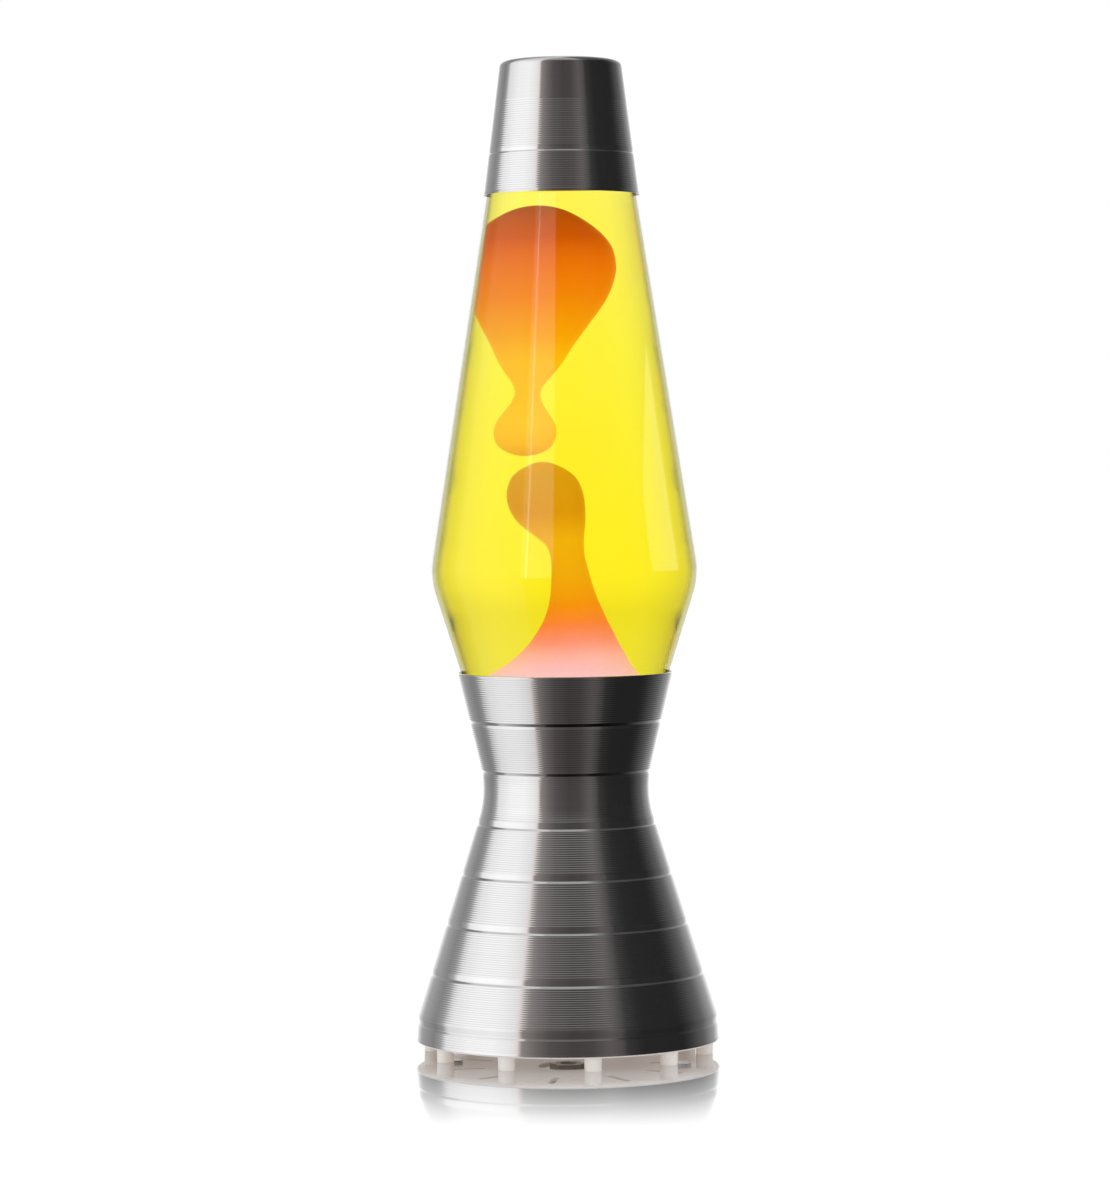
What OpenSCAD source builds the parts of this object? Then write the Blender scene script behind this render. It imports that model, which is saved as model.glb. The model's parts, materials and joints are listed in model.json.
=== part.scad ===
// Lava lamp: a sealed glass bottle of wax and dyed liquid that stands in a spun
// aluminium base over a small reflector bulb, with a spun aluminium cap on top.
// Millimetres, +Z up. The origin is on the table, on the lamp's own axis, and
// the front faces -Y.

/* [Base] */
// Outer radius of the bottom rim
rim_r = 66; // [65.8:0.1:67]
// Height of the rim's lower edge above the table
rim_z = 6.5; // [6.4:0.05:6.6]
// Outer radius where the rim turns into the cone
cone_r = 65.3; // [64:0.1:65.5]
// Height where the rim turns into the cone
cone_z = 17.5; // [15:0.5:20]
// Outer radius of the waist, before rounding
waist_r = 34.7; // [34:0.1:36]
// Height of the waist, before rounding
waist_z = 114.3; // [113:0.1:116]
// Rounding radius of the waist
waist_round = 42; // [30:1:44]
// Outer radius of the mouth that takes the bottle
mouth_r = 47.1; // [47:0.05:48]
// Height of the mouth
mouth_z = 165.5; // [162:0.5:166]
// Thickness of the spun sheet
sheet = 0.7; // [0.5:0.05:0.8]
// Spacing of the smooth bands down the base
band_step = 21.5; // [18:0.5:23]
// Depth of the smooth bands
band_depth = 0.25; // [0.1:0.05:0.3]

/* [Base plate] */
// Number of pegs that the lamp stands on
peg_count = 10; // [8:2:12]
// Radius of the ring of pegs
peg_ring_r = 59.5; // [58:0.5:60]
// Radius of a peg
peg_r = 3.8; // [3:0.1:4]
// Angle of the first peg from +X
first_peg = -80; // [-90:1:-70]
// Height of the plate's underside above the table
plate_z = 6; // [5.8:0.05:6.1]
// Radius of the round cord that the inlet takes
cord_hole_r = 3.4; // [2.5:0.1:3.8]

/* [Bottle] */
// Radius of the glass at its foot, before rounding
foot_r = 34.9; // [33:0.1:35]
// Height of the bottle's foot
foot_z = 130; // [129:0.5:131]
// Radius of the glass at its widest, before rounding
belly_r = 59; // [57:0.1:59.2]
// Height of the widest part, before rounding
belly_z = 206.6; // [204:0.1:209]
// Rounding radius of the widest part
belly_round = 34; // [10:1:50]
// Radius of the shoulder under the cap, before rounding
shoulder_r = 30.9; // [29:0.1:31]
// Height of the shoulder
shoulder_z = 385; // [383:0.5:388]
// Thickness of the glass
glass_wall = 2; // [1.6:0.1:2.4]
// Height of the liquid's surface
level_z = 380; // [376:0.5:382]

/* [Cap] */
// Outer radius of the cap's lower edge
cap_r = 34.25; // [34.1:0.05:35]
// Height of the cap's lower edge
cap_z = 371.5; // [371:0.5:374]
// Outer radius of the cap's top corner, before rounding
cap_top_r = 26.5; // [25:0.1:28]
// Height of the whole lamp
lamp_h = 430; // [428:0.5:434]

/* [Wax] */
// Lean of the upper blob towards +X
blob_lean = 3.3; // [0:0.1:5]
// Gap between the moving blob and the liquid round it
wax_gap = 0.3; // [0.2:0.05:0.5]
// Height of the top of the wax pool in the bottle's foot
pool_z = 152; // [150:0.5:156]

/* [Bulb] */
// Height of the bulb's tip contact
bulb_z = 26.9; // [26.9:0.1:28]
// Radius of the bulb's screw cap
bulb_cap_r = 6.65; // [6.5:0.05:6.7]
// Radius of the bulb's face
bulb_r = 25; // [23:0.5:26]

/* [Hidden] */

$fn = 96;
eps = 0.01;

// Base: the flange that the plate is clamped to, and the number of bands
flange_r = 62;
band_count = 7;
band_h = 3;

// Base plate
plate_t = 1.3;
plate_top = plate_z + plate_t;
plate_r = flange_r - 0.4;
lip_r = rim_r - sheet;
lip_t = rim_z - plate_z;
vent_in_r = 38;
vent_out_r = 53;
vent_w = 3;
plate_hole_r = 13;
fixing_ring_r = 50;
bush_ring_r = 44;
bush_angle = first_peg + 162;
bush_neck_r = 5;
bush_flange_r = 6.5;

// Strap that carries the lampholder
strap_t = 1.5;
strap_w = 14;
strap_angle = first_peg + 72;
strap_z = rim_z + sheet + 0.1;
strap_top = strap_z + strap_t;
strap_reach = rim_r - sheet - 1.2;
nipple_r = 5;
nipple_bore_r = 3.6;
nipple_z = plate_z - 1.2;
m4_r = 2;
earth_r = 26;
barrel_z = strap_top + 1.6;

// Lampholder
holder_r = 13.5;
holder_wall = 1.7;
holder_floor = 3;
insert_z = 19;
skirt_z = 24;
skirt_top = 47;
thread_r = 6.95;
thread_wall = 0.45;
thread_top = 43.5;
terminal_x = 5;
terminal_y = 4;
entry_z = 16;

// Terminal block
block_y = 28;
block_d = 12;
pole_step = 10;
pole_w = 6;
pole_h = 10;
web_h = 3;
wire_z = plate_top + 4.5;
wire_hole_r = 1.3;
lead_r = 1.1;

// Bottle neck and closure
floor_z = foot_z + 4.5;
neck_r = 13.2;
neck_z = 397;
finish_r = 14.4;
finish_z = 407;
neck_top = 412;

// Bulb heights
insulator_z = bulb_z + 1.7;
screw_z = bulb_z + 4.3;
screw_top = bulb_z + 22.1;
bulb_top = bulb_z + 85.1;
filament_z = bulb_top - 20;
stem_top = bulb_z + 42;

// ---- Outlines ----------------------------------------------------------

function unit(v) = v / norm(v);

function turned(v, a) = [v.x * cos(a) - v.y * sin(a), v.x * sin(a) + v.y * cos(a)];

function reversed(list) = [for (i = [len(list) - 1:-1:0]) list[i]];

// Points of an arc about c, from angle a0 to angle a1
function arc(c, r, a0, a1, n = 12) =
    [for (i = [0:n]) let (a = a0 + (a1 - a0) * i / n) c + r * [cos(a), sin(a)]];

// The corner b of the path a, b, c, rounded with radius r
function fillet(a, b, c, r, n = 12) =
    let (
        u = unit(a - b),
        v = unit(c - b),
        half = acos(u * v) / 2,
        centre = b + unit(u + v) * r / sin(half),
        start = b + u * r / tan(half),
        side = sign((b.x - a.x) * (c.y - b.y) - (b.y - a.y) * (c.x - b.x)),
        sweep = side * (180 - 2 * half)
    )
    [for (i = [0:n]) centre + turned(start - centre, sweep * i / n)];

// A path of [x, y, radius] corners, each rounded with its own radius
function rounded(path, n = 12) =
    let (flat = [for (p = path) [p.x, p.y]])
    [for (i = [0:len(path) - 1])
        each (len(path[i]) < 3 ? [flat[i]] : fillet(flat[i - 1], flat[i], flat[i + 1], path[i][2], n))];

// A path moved d to its own left, which is inwards for a wall drawn upwards
function shifted(path, d) =
    [for (i = [0:len(path) - 1])
        let (t = unit(path[min(i + 1, len(path) - 1)] - path[max(i - 1, 0)]))
        path[i] + d * [-t.y, t.x]];

// A smooth curve through all keys but the first and last, which only steer it
function spline(keys, steps) =
    [for (i = [1:len(keys) - 3], s = [0:steps - 1])
        let (p0 = keys[i - 1], p1 = keys[i], p2 = keys[i + 1], p3 = keys[i + 2], t = s / steps)
        (2 * p1 + (p2 - p0) * t + (2 * p0 - 5 * p1 + 4 * p2 - p3) * t ^ 2
            + (3 * p1 - p0 - 3 * p2 + p3) * t ^ 3) / 2];

// The same curve with its last key, steered straight on at both ends
function route(keys, steps) =
    let (n = len(keys), all = concat([2 * keys[0] - keys[1]], keys, [2 * keys[n - 1] - keys[n - 2]]))
    concat(spline(all, steps), [keys[n - 1]]);

// Outer path of the base, from its rim up to its mouth
base_path = rounded([[rim_r, rim_z], [cone_r, cone_z, 8], [waist_r, waist_z, waist_round],
    [mouth_r, mouth_z]]);

// Outer path of the cap, from its edge up to the middle of its top
cap_path = rounded([[cap_r, cap_z], [cap_r - 0.3, cap_z + 1.2], [cap_top_r, lamp_h - 0.6, 3.2],
    [0, lamp_h]]);

// Outer path of the glass, from the middle of its foot to the top of its neck
bottle_path = rounded([[0, foot_z + 2.5], [foot_r - 8, foot_z, 6], [foot_r, foot_z, 5],
    [belly_r, belly_z, belly_round], [shoulder_r, shoulder_z, 12], [neck_r, neck_z, 5],
    [neck_r, neck_top]]);

function radius_at(path, z) = lookup(z, [for (p = path) [p.y, p.x]]);

// Inner path of the glass, from the edge of its floor to the top of its neck
inside_wall = [for (p = shifted(bottle_path, glass_wall)) if (p.x > foot_r - 1.2 || p.y > floor_z + 20) p];
inside_path = concat([[radius_at(inside_wall, floor_z), floor_z]],
    [for (p = inside_wall) if (p.y > floor_z) p]);

// Half outline of the upper blob, its neck and the drop under it, from the
// drop's lowest point to the blob's highest, as [radius, height]
blob_keys = [[0, 256.9], [5.6, 258.5], [9.1, 262], [10.1, 267.4], [9.3, 271.6], [7.6, 275],
    [5.2, 279.6], [4.1, 284], [5.2, 288.2], [7.7, 292.4], [10.6, 298], [13.4, 305], [18.1, 315],
    [22.8, 325.5], [25, 335], [25, 342], [23, 349.5], [18.7, 355.6], [12.6, 360.9],
    [6.6, 364.2], [0, 365.4]];
blob_pivot = [-10.4, 300];

function mirrored_ends(keys) =
    let (n = len(keys))
    concat([[-keys[1].x, keys[1].y]], keys, [[-keys[n - 2].x, keys[n - 2].y]]);

blob_path = concat(spline(mirrored_ends(blob_keys), 2), [blob_keys[len(blob_keys) - 1]]);

// Rings of the lower column from the pool upwards, as [centre x, height, radius]
column_keys = [[-1.5, 144, 42], [-1.5, 150, 37.5], [-1.6, 156, 34.5], [-1.6, 161, 31],
    [-1.2, 165.5, 26.8], [-0.3, 169, 23.4], [1.2, 173.5, 19.6], [2.3, 178, 16.8],
    [2.9, 182.5, 14.3], [3.3, 187, 12.4], [3.4, 192, 10.4], [3.3, 197, 8.9], [2.9, 202, 7.6],
    [2.1, 207, 6.3], [1.2, 212.5, 5.5], [0.3, 218, 6], [-1.6, 222.5, 8], [-3.9, 228, 10.7],
    [-5.3, 234, 12.1], [-6, 240, 12.3], [-6.3, 245.6, 11.1], [-6.5, 249.2, 9.1],
    [-6.6, 252.4, 5.4], [-6.6, 254.3, 0.6], [-6.6, 252.4, -5.4]];

// ---- Shapes ------------------------------------------------------------

// A ring or disc between two heights
module ring(r, z0, z1, bore = 0) {
    translate([0, 0, z0]) difference() {
        cylinder(r = r, h = z1 - z0);
        if (bore > 0) translate([0, 0, -1]) cylinder(r = bore, h = z1 - z0 + 2);
    }
}

// A straight-sided slot from radius r0 to radius r1, w wide, with round ends
module slot(r0, r1, w, h) {
    translate([r0, -w / 2, 0]) cube([r1 - r0, w, h]);
    for (r = [r0, r1]) translate([r, 0, 0]) cylinder(r = w / 2, h = h, $fn = 32);
}

// A pan-head screw that hangs from z = 0: the head is above, the shank below
module screw(head_r, head_h, shank_r, shank_l) {
    difference() {
        cylinder(r = head_r, h = head_h, $fn = 48);
        translate([-head_r, -0.4, head_h * 0.55]) cube([2 * head_r, 0.8, head_h]);
    }
    translate([0, 0, -shank_l]) cylinder(r = shank_r, h = shank_l + head_h / 4, $fn = 48);
}

// A closed skin over rings of points that run anticlockwise about their path
module skin(rings) {
    n = len(rings[0]);
    last = (len(rings) - 1) * n;
    points = [for (loop = rings) each loop];
    lower = [for (i = [0:len(rings) - 2], j = [0:n - 1])
        [i * n + j, (i + 1) * n + j, (i + 1) * n + (j + 1) % n]];
    upper = [for (i = [0:len(rings) - 2], j = [0:n - 1])
        [i * n + j, (i + 1) * n + (j + 1) % n, i * n + (j + 1) % n]];
    caps = [[for (j = [0:n - 1]) j], [for (j = [n - 1:-1:0]) last + j]];
    polyhedron(points, concat(lower, upper, caps));
}

// A round lead of radius r that follows points in space
module lead(points, r) {
    sides = 8;
    last = len(points) - 1;
    skin([for (i = [0:last])
        let (
            t = unit(points[min(i + 1, last)] - points[max(i - 1, 0)]),
            u = unit(cross([1, 0.3, 2], t)),
            v = cross(t, u)
        )
        [for (k = [0:sides - 1]) points[i] + r * (cos(360 * k / sides) * u + sin(360 * k / sides) * v)]]);
}

// A wall of thickness t inside an outer path that ends on the axis or not
module wall(path, t) {
    inner = reversed(shifted(path, t));
    rotate_extrude() polygon(concat(path, [for (p = inner) [max(p.x, 0), p.y]]));
}

module blob_solid(grow) {
    n = len(blob_path) - 1;
    outline = shifted(blob_path, -grow);
    translate([blob_pivot.x, 0, blob_pivot.y]) rotate([0, blob_lean, 0]) rotate_extrude()
        polygon([for (i = [0:n]) [i == 0 || i == n ? 0 : outline[i].x, outline[i].y - blob_pivot.y]]);
}

module column_solid() {
    sides = 24;
    keys = spline(column_keys, 2);
    skin([for (k = concat(keys, [column_keys[len(column_keys) - 2]]))
        [for (j = [0:sides - 1])
            [k.x + k[2] * cos(360 * j / sides), k[2] * sin(360 * j / sides), k.y]]]);
}

// The bottle's inside between two heights
module filling(z0, z1) {
    side = [for (p = inside_path) if (p.y > z0 + eps && p.y < z1 - eps) p];
    rotate_extrude() polygon(concat([[0, z0], [radius_at(inside_path, z0), z0]], side,
        [[radius_at(inside_path, z1), z1], [0, z1]]));
}

// A smooth band turned into a cone, from height z up, on the given outer path
module band(path, z, h, depth) {
    r0 = radius_at(path, z);
    r1 = radius_at(path, z + h);
    rotate_extrude() polygon([[r0 - depth, z], [r0 + 2, z], [r1 + 2, z + h], [r1 - depth, z + h]]);
}

// ---- Cap and bottle ----------------------------------------------------

module top_cap() {
    color("silver") difference() {
        wall(cap_path, sheet);
        band(cap_path, cap_z + 17, 2.4, band_depth);
    }
}

module glass_bottle() {
    color("whitesmoke", 0.3) {
        rotate_extrude() polygon(concat(bottle_path, reversed(inside_path), [[0, floor_z]]));
        ring(finish_r, finish_z, neck_top, neck_r - 1);
    }
}

module crown_closure() {
    color("gainsboro") difference() {
        union() {
            translate([0, 0, finish_z + 1]) cylinder(r1 = finish_r + 1.6, r2 = finish_r + 0.5, h = 3.6);
            ring(finish_r + 0.5, finish_z + 4.5, neck_top + 1.1);
        }
        translate([0, 0, finish_z]) cylinder(r = finish_r + 0.1, h = neck_top - finish_z + 0.8);
    }
}

module closure_liner() {
    color("lightgrey") ring(finish_r - 0.3, neck_top, neck_top + 0.8);
}

module fluid() {
    color("gold", 0.5) difference() {
        filling(pool_z, level_z);
        blob_solid(wax_gap);
        column_solid();
    }
}

module wax_blob() {
    color("darkorange") blob_solid(0);
}

module wax_column() {
    color("lightsalmon") {
        filling(floor_z + eps, pool_z);
        column_solid();
    }
}

module wire_coil() {
    color("dimgrey") translate([0, 0, floor_z + 3.2]) rotate_extrude()
        translate([27, 0]) circle(r = 2.8, $fn = 32);
}

// ---- Base --------------------------------------------------------------

module base_shell() {
    inner = shifted(base_path, sheet);
    high_inner = [for (p = inner) if (p.y > rim_z + sheet + 1) p];
    color("silver") difference() {
        rotate_extrude() polygon(concat(base_path, reversed(high_inner),
            [[rim_r - sheet, rim_z + sheet], [flange_r, rim_z + sheet], [flange_r, rim_z]]));
        for (i = [1:band_count])
            band(base_path, mouth_z - i * band_step - band_h / 2, band_h, band_depth);
    }
}

module base_plate() {
    color("white") difference() {
        union() {
            ring(plate_r, plate_z, plate_top);
            ring(lip_r, plate_z, plate_z + lip_t);
            for (i = [0:peg_count - 1])
                rotate(first_peg + i * 360 / peg_count) translate([peg_ring_r, 0, 0])
                    cylinder(r1 = peg_r - 0.2, r2 = peg_r, h = plate_z + lip_t / 2, $fn = 48);
        }
        translate([0, 0, plate_z - 1]) {
            cylinder(r = plate_hole_r, h = 4);
            for (i = [1:peg_count])
                if (i != 5)
                    rotate(first_peg + (i - 0.5) * 360 / peg_count) slot(vent_in_r, vent_out_r, vent_w, 4);
            rotate(bush_angle) translate([bush_ring_r, 0, 0]) cylinder(r = bush_neck_r, h = 4);
            rotate(strap_angle) for (side = [-1, 1])
                translate([side * fixing_ring_r, 0, 0]) cylinder(r = m4_r + 0.25, h = 4);
            for (x = [-pole_step / 2, pole_step / 2])
                translate([x, block_y, 0]) cylinder(r = 1.3, h = 4, $fn = 32);
        }
    }
}

module plate_screws() {
    color("silver") rotate(strap_angle) for (side = [-1, 1])
        translate([side * fixing_ring_r, 0, plate_z]) rotate([180, 0, 0])
            screw(3.6, 2, m4_r - 0.05, strap_top - plate_z + 0.6);
}

module cord_bush() {
    color("white") rotate(bush_angle) translate([bush_ring_r, 0, 0]) rotate_extrude()
        polygon([[cord_hole_r, plate_z - 1], [bush_flange_r - 0.4, plate_z - 1],
            [bush_flange_r, plate_z - 0.6], [bush_flange_r, plate_z], [bush_neck_r, plate_z],
            [bush_neck_r, plate_top], [bush_flange_r, plate_top], [bush_flange_r, plate_top + 1],
            [bush_flange_r - 0.5, plate_top + 1.5], [cord_hole_r, plate_top + 1.5]]);
}

module holder_strap() {
    color("silver") rotate(strap_angle) translate([0, 0, strap_z]) difference() {
        intersection() {
            union() {
                translate([-strap_reach - 5, -strap_w / 2, 0]) cube([2 * strap_reach + 10, strap_w, strap_t]);
                cylinder(r = holder_r + 3, h = strap_t);
            }
            translate([0, 0, -1]) cylinder(r = strap_reach, h = strap_t + 2);
        }
        translate([0, 0, -1]) {
            cylinder(r = nipple_r + 0.05, h = 4);
            for (x = [-fixing_ring_r, fixing_ring_r, earth_r])
                translate([x, 0, 0]) cylinder(r = m4_r, h = 4, $fn = 48);
        }
    }
}

module strap_nipple() {
    color("goldenrod") ring(nipple_r, nipple_z, nipple_z + 9, nipple_bore_r);
}

module nipple_nut() {
    color("goldenrod") difference() {
        translate([0, 0, nipple_z]) cylinder(d = 16.2, h = strap_z - nipple_z, $fn = 6);
        translate([0, 0, nipple_z - 1]) cylinder(r = nipple_r + 0.05, h = 5);
    }
}

// ---- Lampholder --------------------------------------------------------

module holder_cup() {
    color("ivory") difference() {
        ring(holder_r, strap_top, skirt_z);
        ring(holder_r - holder_wall, strap_top + holder_floor, skirt_z + 1);
        ring(nipple_r + 0.05, strap_top - 1, strap_top + holder_floor + 1);
        for (side = [-1, 1])
            translate([side * terminal_x, 8, entry_z]) rotate([-90, 0, 0])
                cylinder(r = 1.6, h = holder_r, $fn = 32);
    }
}

module holder_insert() {
    color("ivory") difference() {
        ring(holder_r - holder_wall - 0.1, insert_z, skirt_z);
        for (side = [-1, 1])
            translate([side * terminal_x, terminal_y, insert_z - 1]) cylinder(r = 1.3, h = 5, $fn = 32);
    }
}

module terminal_screws() {
    color("goldenrod") for (side = [-1, 1])
        translate([side * terminal_x, terminal_y, insert_z]) rotate([180, 0, 0]) screw(2.4, 2.4, 1.25, 3.9);
}

module holder_skirt() {
    color("ivory") difference() {
        union() {
            ring(holder_r, skirt_z, skirt_top - 4);
            translate([0, 0, skirt_top - 4]) cylinder(r1 = holder_r, r2 = holder_r - 1.5, h = 4);
        }
        ring(8, skirt_z - 1, skirt_top + 1);
    }
}

module holder_thread() {
    color("goldenrod") ring(thread_r + thread_wall, skirt_z, thread_top, thread_r);
}

module centre_contact() {
    color("goldenrod") translate([0, 0, skirt_z]) {
        translate([-5, -1.5, 0]) cube([10, 3, 0.5]);
        cylinder(r = 1.8, h = bulb_z - skirt_z - 0.3, $fn = 48);
    }
}

// ---- Wiring ------------------------------------------------------------

module terminal_block() {
    color("white") translate([0, block_y, plate_top]) difference() {
        union() {
            translate([-pole_step - pole_w / 2, -block_d / 2, 0])
                cube([2 * pole_step + pole_w, block_d, web_h]);
            for (x = [-pole_step, 0, pole_step])
                translate([x - pole_w / 2, -block_d / 2, 0]) cube([pole_w, block_d, pole_h]);
        }
        for (x = [-pole_step, 0, pole_step]) {
            translate([x, -block_d, wire_z - plate_top]) rotate([-90, 0, 0])
                cylinder(r = wire_hole_r, h = 2 * block_d, $fn = 32);
            for (y = [-3.2, 3.2])
                translate([x, y, wire_z - plate_top]) cylinder(r = 1.3, h = pole_h, $fn = 32);
        }
        for (x = [-pole_step / 2, pole_step / 2])
            translate([x, 0, -1]) cylinder(r = 1.4, h = web_h + 2, $fn = 32);
    }
}

module block_screws() {
    color("silver") for (x = [-pole_step / 2, pole_step / 2])
        translate([x, block_y, plate_top + web_h]) screw(1.9, 1.4, 1.25, web_h + plate_t - 0.1);
}

module block_clamp_screws() {
    color("goldenrod") for (x = [-pole_step, 0, pole_step], y = [-3.2, 3.2])
        translate([x, block_y + y, plate_top + pole_h - 0.8]) screw(1.25, 1.1, 1.2, 3);
}

// A lead from a pole of the block to the holder's terminal on the same side
module holder_lead(side) {
    lead(route([[side * pole_step, 26, wire_z], [side * pole_step, 21, wire_z + 0.2],
        [side * 9, 17.5, 13.6], [side * 6.5, 14.6, 15.6], [side * terminal_x, 11.5, entry_z],
        [side * terminal_x, 9, 16.6], [side * terminal_x, 7.6, 17.4]], 3), lead_r);
}

module live_lead() {
    color("sienna") holder_lead(-1);
}

module neutral_lead() {
    color("royalblue") holder_lead(1);
}

// A point over the strap's arm that is x along the arm and y across it
function over_strap(x, y, z) = [each turned([x, y], strap_angle), z];

module earth_lead() {
    color("yellowgreen") lead(route([[0, 26, wire_z], [0, 21, wire_z], [3.6, 18.2, 11.4],
        [12, 16.4, 11], [20.5, 15, 10.7], over_strap(earth_r - 0.6, 13.6, barrel_z),
        over_strap(earth_r, 10.5, barrel_z), over_strap(earth_r, 8, barrel_z),
        over_strap(earth_r, 5.8, barrel_z)], 3), lead_r);
}

module earth_tag() {
    color("gainsboro") rotate(strap_angle) translate([earth_r, 0, strap_top]) difference() {
        union() {
            cylinder(r = 4.2, h = 0.8, $fn = 48);
            translate([-1.6, 2, 0]) cube([3.2, 4.4, 0.8]);
            translate([0, 5, barrel_z - strap_top]) rotate([-90, 0, 0]) cylinder(r = 1.6, h = 3.4, $fn = 32);
        }
        translate([0, 0, -1]) cylinder(r = m4_r + 0.1, h = 3, $fn = 48);
        translate([0, 4, barrel_z - strap_top]) rotate([-90, 0, 0])
            cylinder(r = lead_r + 0.1, h = 6, $fn = 32);
    }
}

module earth_screw() {
    color("silver") rotate(strap_angle) translate([earth_r, 0, strap_top + 0.8])
        screw(3.6, 2.2, m4_r - 0.05, strap_t + 0.7);
}

// ---- Bulb --------------------------------------------------------------

module bulb_envelope() {
    dome_r = 45.5;
    dome_edge = 61.8;
    side = rounded([[6.2, bulb_z + 16], [6.2, bulb_z + 23, 4], [11, bulb_z + 31, 8],
        [12.3, bulb_z + 45, 12], [bulb_r, bulb_z + 68, 13], [bulb_r, bulb_z + 79, 4],
        [21.6, bulb_z + 79.7]]);
    dome = arc([0, bulb_top - dome_r], dome_r, dome_edge, 90);
    color("lightgrey", 0.6) wall(concat(side, dome), 0.9);
}

module bulb_cap() {
    color("gold") difference() {
        union() {
            ring(bulb_cap_r, screw_z, screw_top);
            translate([0, 0, screw_top - 2]) cylinder(r1 = bulb_cap_r, r2 = bulb_cap_r + 0.6, h = 2);
        }
        ring(bulb_cap_r - 0.35, screw_z + 0.5, screw_top + 1);
        ring(2.2, screw_z - 1, screw_z + 1);
    }
}

module bulb_insulator() {
    color("black") translate([0, 0, insulator_z])
        cylinder(r1 = 3.2, r2 = bulb_cap_r - 0.4, h = screw_z - insulator_z);
}

module bulb_tip() {
    color("silver") rotate_extrude() polygon([[0, bulb_z], [1.5, bulb_z], [2.1, bulb_z + 0.3],
        [2.5, bulb_z + 0.9], [2.5, insulator_z], [0, insulator_z]]);
}

module bulb_stem() {
    color("whitesmoke", 0.4) rotate_extrude() polygon(rounded([[0, bulb_z + 17], [5.1, bulb_z + 17],
        [5.1, bulb_z + 18.5], [2.4, bulb_z + 23, 3], [2.2, stem_top - 1, 0.8], [1.2, stem_top],
        [0, stem_top]], 6));
}

module bulb_wires() {
    reach = filament_z - stem_top + 1;
    color("silver") for (side = [-1, 1])
        translate([side * 1.2, 0, stem_top - 1]) rotate([0, side * 14, 0])
            cylinder(r = 0.35, h = reach / cos(14), $fn = 16);
}

module bulb_filament() {
    loop_r = 1.2 + (filament_z - stem_top + 1) * tan(14);
    color("dimgrey") translate([0, 0, filament_z + 0.4]) rotate(-180) rotate_extrude(angle = 180)
        translate([loop_r, 0]) circle(r = 0.4, $fn = 16);
}

top_cap();
glass_bottle();
crown_closure();
closure_liner();
fluid();
wax_blob();
wax_column();
wire_coil();
base_shell();
base_plate();
plate_screws();
cord_bush();
holder_strap();
strap_nipple();
nipple_nut();
holder_cup();
holder_insert();
holder_skirt();
holder_thread();
centre_contact();
terminal_screws();
terminal_block();
block_screws();
block_clamp_screws();
live_lead();
neutral_lead();
earth_lead();
earth_tag();
earth_screw();
bulb_envelope();
bulb_cap();
bulb_insulator();
bulb_tip();
bulb_stem();
bulb_wires();
bulb_filament();
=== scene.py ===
# %% [markdown]
# # A lava lamp
# A lava lamp is a glass bottle of wax and dyed liquid that stands in a spun metal base. A small
# reflector bulb hides in the base. It warms the foot of the bottle, the wax there melts and
# rises, cools near the top and sinks again. This notebook starts from the lamp's working CAD
# model and gives every piece the surface and the finish of the real one.

# %% Load the frame
import json
import math

import bmesh
import bpy
import numpy as np
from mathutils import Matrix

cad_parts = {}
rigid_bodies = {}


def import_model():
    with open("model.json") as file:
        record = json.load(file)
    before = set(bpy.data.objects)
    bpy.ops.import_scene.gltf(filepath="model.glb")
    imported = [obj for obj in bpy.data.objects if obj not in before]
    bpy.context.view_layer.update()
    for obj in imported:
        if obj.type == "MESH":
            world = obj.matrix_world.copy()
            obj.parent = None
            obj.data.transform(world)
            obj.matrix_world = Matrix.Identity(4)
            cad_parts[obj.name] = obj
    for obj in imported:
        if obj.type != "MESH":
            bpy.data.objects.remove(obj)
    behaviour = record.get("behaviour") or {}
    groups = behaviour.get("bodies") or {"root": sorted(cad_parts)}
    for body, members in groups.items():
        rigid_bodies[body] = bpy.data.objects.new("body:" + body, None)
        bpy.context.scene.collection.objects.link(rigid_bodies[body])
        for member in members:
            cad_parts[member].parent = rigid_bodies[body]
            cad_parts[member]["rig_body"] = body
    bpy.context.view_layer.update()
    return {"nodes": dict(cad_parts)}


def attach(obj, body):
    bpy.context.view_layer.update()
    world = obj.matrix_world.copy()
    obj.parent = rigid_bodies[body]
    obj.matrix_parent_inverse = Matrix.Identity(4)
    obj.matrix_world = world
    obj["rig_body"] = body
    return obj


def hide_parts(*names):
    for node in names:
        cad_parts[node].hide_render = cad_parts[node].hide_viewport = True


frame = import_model()
nodes = frame["nodes"]
MM = 0.001

# %% [markdown]
# ## The camera
# Product pictures of a slim lamp are taken from about two metres away with a long lens, so that
# its straight sides stay straight. The lens and the distance together set how much of the frame
# the lamp fills. The camera looks very slightly down, from a little above the middle of the lamp,
# and it is turned by not quite half a degree about its own line of sight.

# %% Make the camera
CAMERA_DISTANCE = 1862 * MM
CAMERA_HEIGHT = 257 * MM
TARGET = (-3.9 * MM, 0.0, 196.6 * MM)
LENS = 129
ROLL = 0.45

camera_data = bpy.data.cameras.new("camera")
camera_data.lens = LENS
camera_data.sensor_width = 36
camera = bpy.data.objects.new("camera", camera_data)
bpy.context.scene.collection.objects.link(camera)
bpy.context.scene.camera = camera

pitch = math.atan2(CAMERA_HEIGHT - TARGET[2], CAMERA_DISTANCE)
camera.location = (TARGET[0], -CAMERA_DISTANCE, CAMERA_HEIGHT)
camera.rotation_euler = (math.pi / 2 - pitch, math.radians(ROLL), 0)
bpy.context.scene.view_settings.view_transform = "Standard"
print("camera tips down by", round(math.degrees(pitch), 2), "degrees")

# %% [markdown]
# ## Tools for materials
# A material or a world in Blender is a network of nodes. Each node has inputs and outputs, and a
# wire carries a number, a colour or a whole shader from one to the next. All the networks of
# this lamp are built from the few small functions below.


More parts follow.
